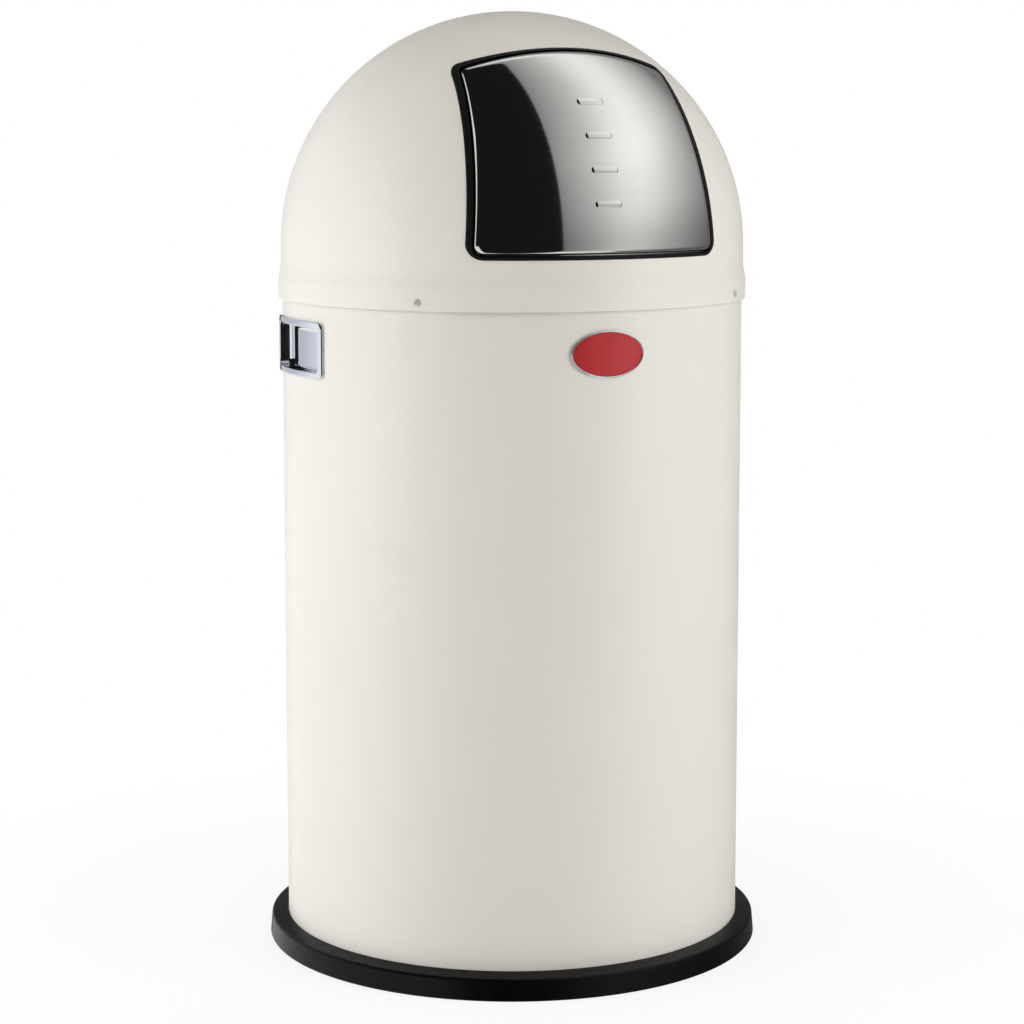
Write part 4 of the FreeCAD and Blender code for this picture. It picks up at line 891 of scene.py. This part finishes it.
def addCard(name, finish, look):
    # a slice of a ball's skin round the object: cos u (cos a front + sin a aside) + sin u pole,
    # where a runs across and u up, and the pole may lean back; glow is given across, and fall
    # weakens it by height; the glow is a painted reflection, seen in gloss only
    cols, rows = cards["cols"], cards["rows"]
    across = np.linspace(*look["across"], cols)[None, :, None]
    up = np.linspace(*look["up"], rows)[:, None, None]
    lean = math.radians(look.get("lean", 0))
    level, aside = (np.array(aroundCamera(cards["halves"] + turn, 1.0, 0.0)) for turn in (0, 90))
    front = level * math.cos(lean) + upright * math.sin(lean)
    pole = upright * math.cos(lean) - level * math.sin(lean)
    a, u = np.radians(across), np.radians(up)
    points = np.cos(u) * (np.cos(a) * front + np.sin(a) * aside) + np.sin(u) * pole
    height = np.degrees(np.arcsin(points[..., 2]))
    fall = np.interp(height, *zip(*look.get("fall", [(0, 1)])))
    glow = np.interp(across[..., 0], *zip(*look["glow"])) * fall
    first = np.arange((rows - 1) * cols).reshape(rows - 1, cols)[:, :-1].ravel()
    quads = np.stack([first, first + 1, first + cols + 1, first + cols], -1)
    mesh = bpy.data.meshes.new(name)
    mesh.from_pydata((points.reshape(-1, 3) * cards["radius"]).tolist(), [], quads.tolist())
    strength = mesh.attributes.new("glow", "FLOAT", "POINT")
    strength.data.foreach_set("value", glow.ravel().astype(np.float32))
    mesh.materials.append(finish)
    card = bpy.data.objects.new(name, mesh)
    bpy.context.scene.collection.objects.link(card)
    card.visible_camera = card.visible_diffuse = False
    card.visible_shadow = card.visible_transmission = False


# softboxes as (degrees from the camera, power)
softboxes = {"left": (-69.0, 25.0), "right": (64.0, 21.5), "back": (180.0, 12.0)}
lamps = {"distance": 1.9, "height": 0.75, "size": (0.9, 1.7), "aim": (0, 0, 0.4),
         "topHeight": 2.6, "topSize": (1.2, 1.2), "topPower": 6.5}


def addSoftLight(name, place, size, power):
    lamp = bpy.data.lights.new(name, "AREA")
    lamp.shape, lamp.energy = "RECTANGLE", power
    lamp.size, lamp.size_y = size
    light = bpy.data.objects.new(name, lamp)
    light.visible_glossy = False  # gloss shows the cards and the white room instead
    x, y, z = np.array(lamps["aim"]) - place
    light.location = place
    light.rotation_euler = (math.atan2(math.hypot(x, y), -z), 0, math.atan2(y, x) - math.pi / 2)
    bpy.context.scene.collection.objects.link(light)


addCamera(camera)
addRoom(room)
addFloor(paper)
# the cards' finishes are glows, not cloth: painted reflections, dark for a black flag and pale blue
# or grey for bright panels
darkReflectionGlow = cardFinish("darkReflectionGlow", "#FFFFFF")
blueReflectionGlow = cardFinish("blueReflectionGlow", "#CBCED8")
greyReflectionGlow = cardFinish("greyReflectionGlow", "#FFFFFF")
# painted dark reflection: metal shows these cards as a dark room round and behind the camera,
# though the room is white
dark = [(0, 0.012)]  # one weak glow all over
addCard("darkCard", darkReflectionGlow, {"across": (-48.6, 0), "up": (-90, 90), "glow": dark})
addCard("darkWing", darkReflectionGlow, {"across": (-105.6, -48.6), "up": (8.5, 90), "glow": dark})
addCard("darkCanopy", darkReflectionGlow, {"across": (-180, -105.6), "up": (40, 90), "glow": dark})
# painted bright reflections: the blue and the grey card glow like lit panels, though no lamp, and
# give the bluish and pale reflections in metal and gloss; the grey one's glow varies across and by
# height as a softbox's reflection would
addCard("blueCard", blueReflectionGlow, {
    "across": (-180, -137), "up": (0.5, 40), "glow": [(-157, 1.0), (-137, 1.5)]})
addCard("greyReflectionCard", greyReflectionGlow, {
    "across": (0, 180), "up": (-60, 90), "lean": 36,
    "fall": [(14, 0.56), (25, 0.78), (46, 1.0), (75, 0.85)],
    "glow": [(0, 0.38), (16, 0.84), (28, 1.28), (36, 1.4), (44, 1.28), (54, 0.95), (64, 0.66),
             (80, 0.25), (180, 0.3)]})
for side, (angle, power) in softboxes.items():
    place = aroundCamera(angle, lamps["distance"], lamps["height"])
    addSoftLight(side + "Softbox", place, lamps["size"], power)
addSoftLight("topSoftbox", (0, 0, lamps["topHeight"]), lamps["topSize"], lamps["topPower"])
bpy.context.scene.view_settings.view_transform = "Standard"
print("studio made")
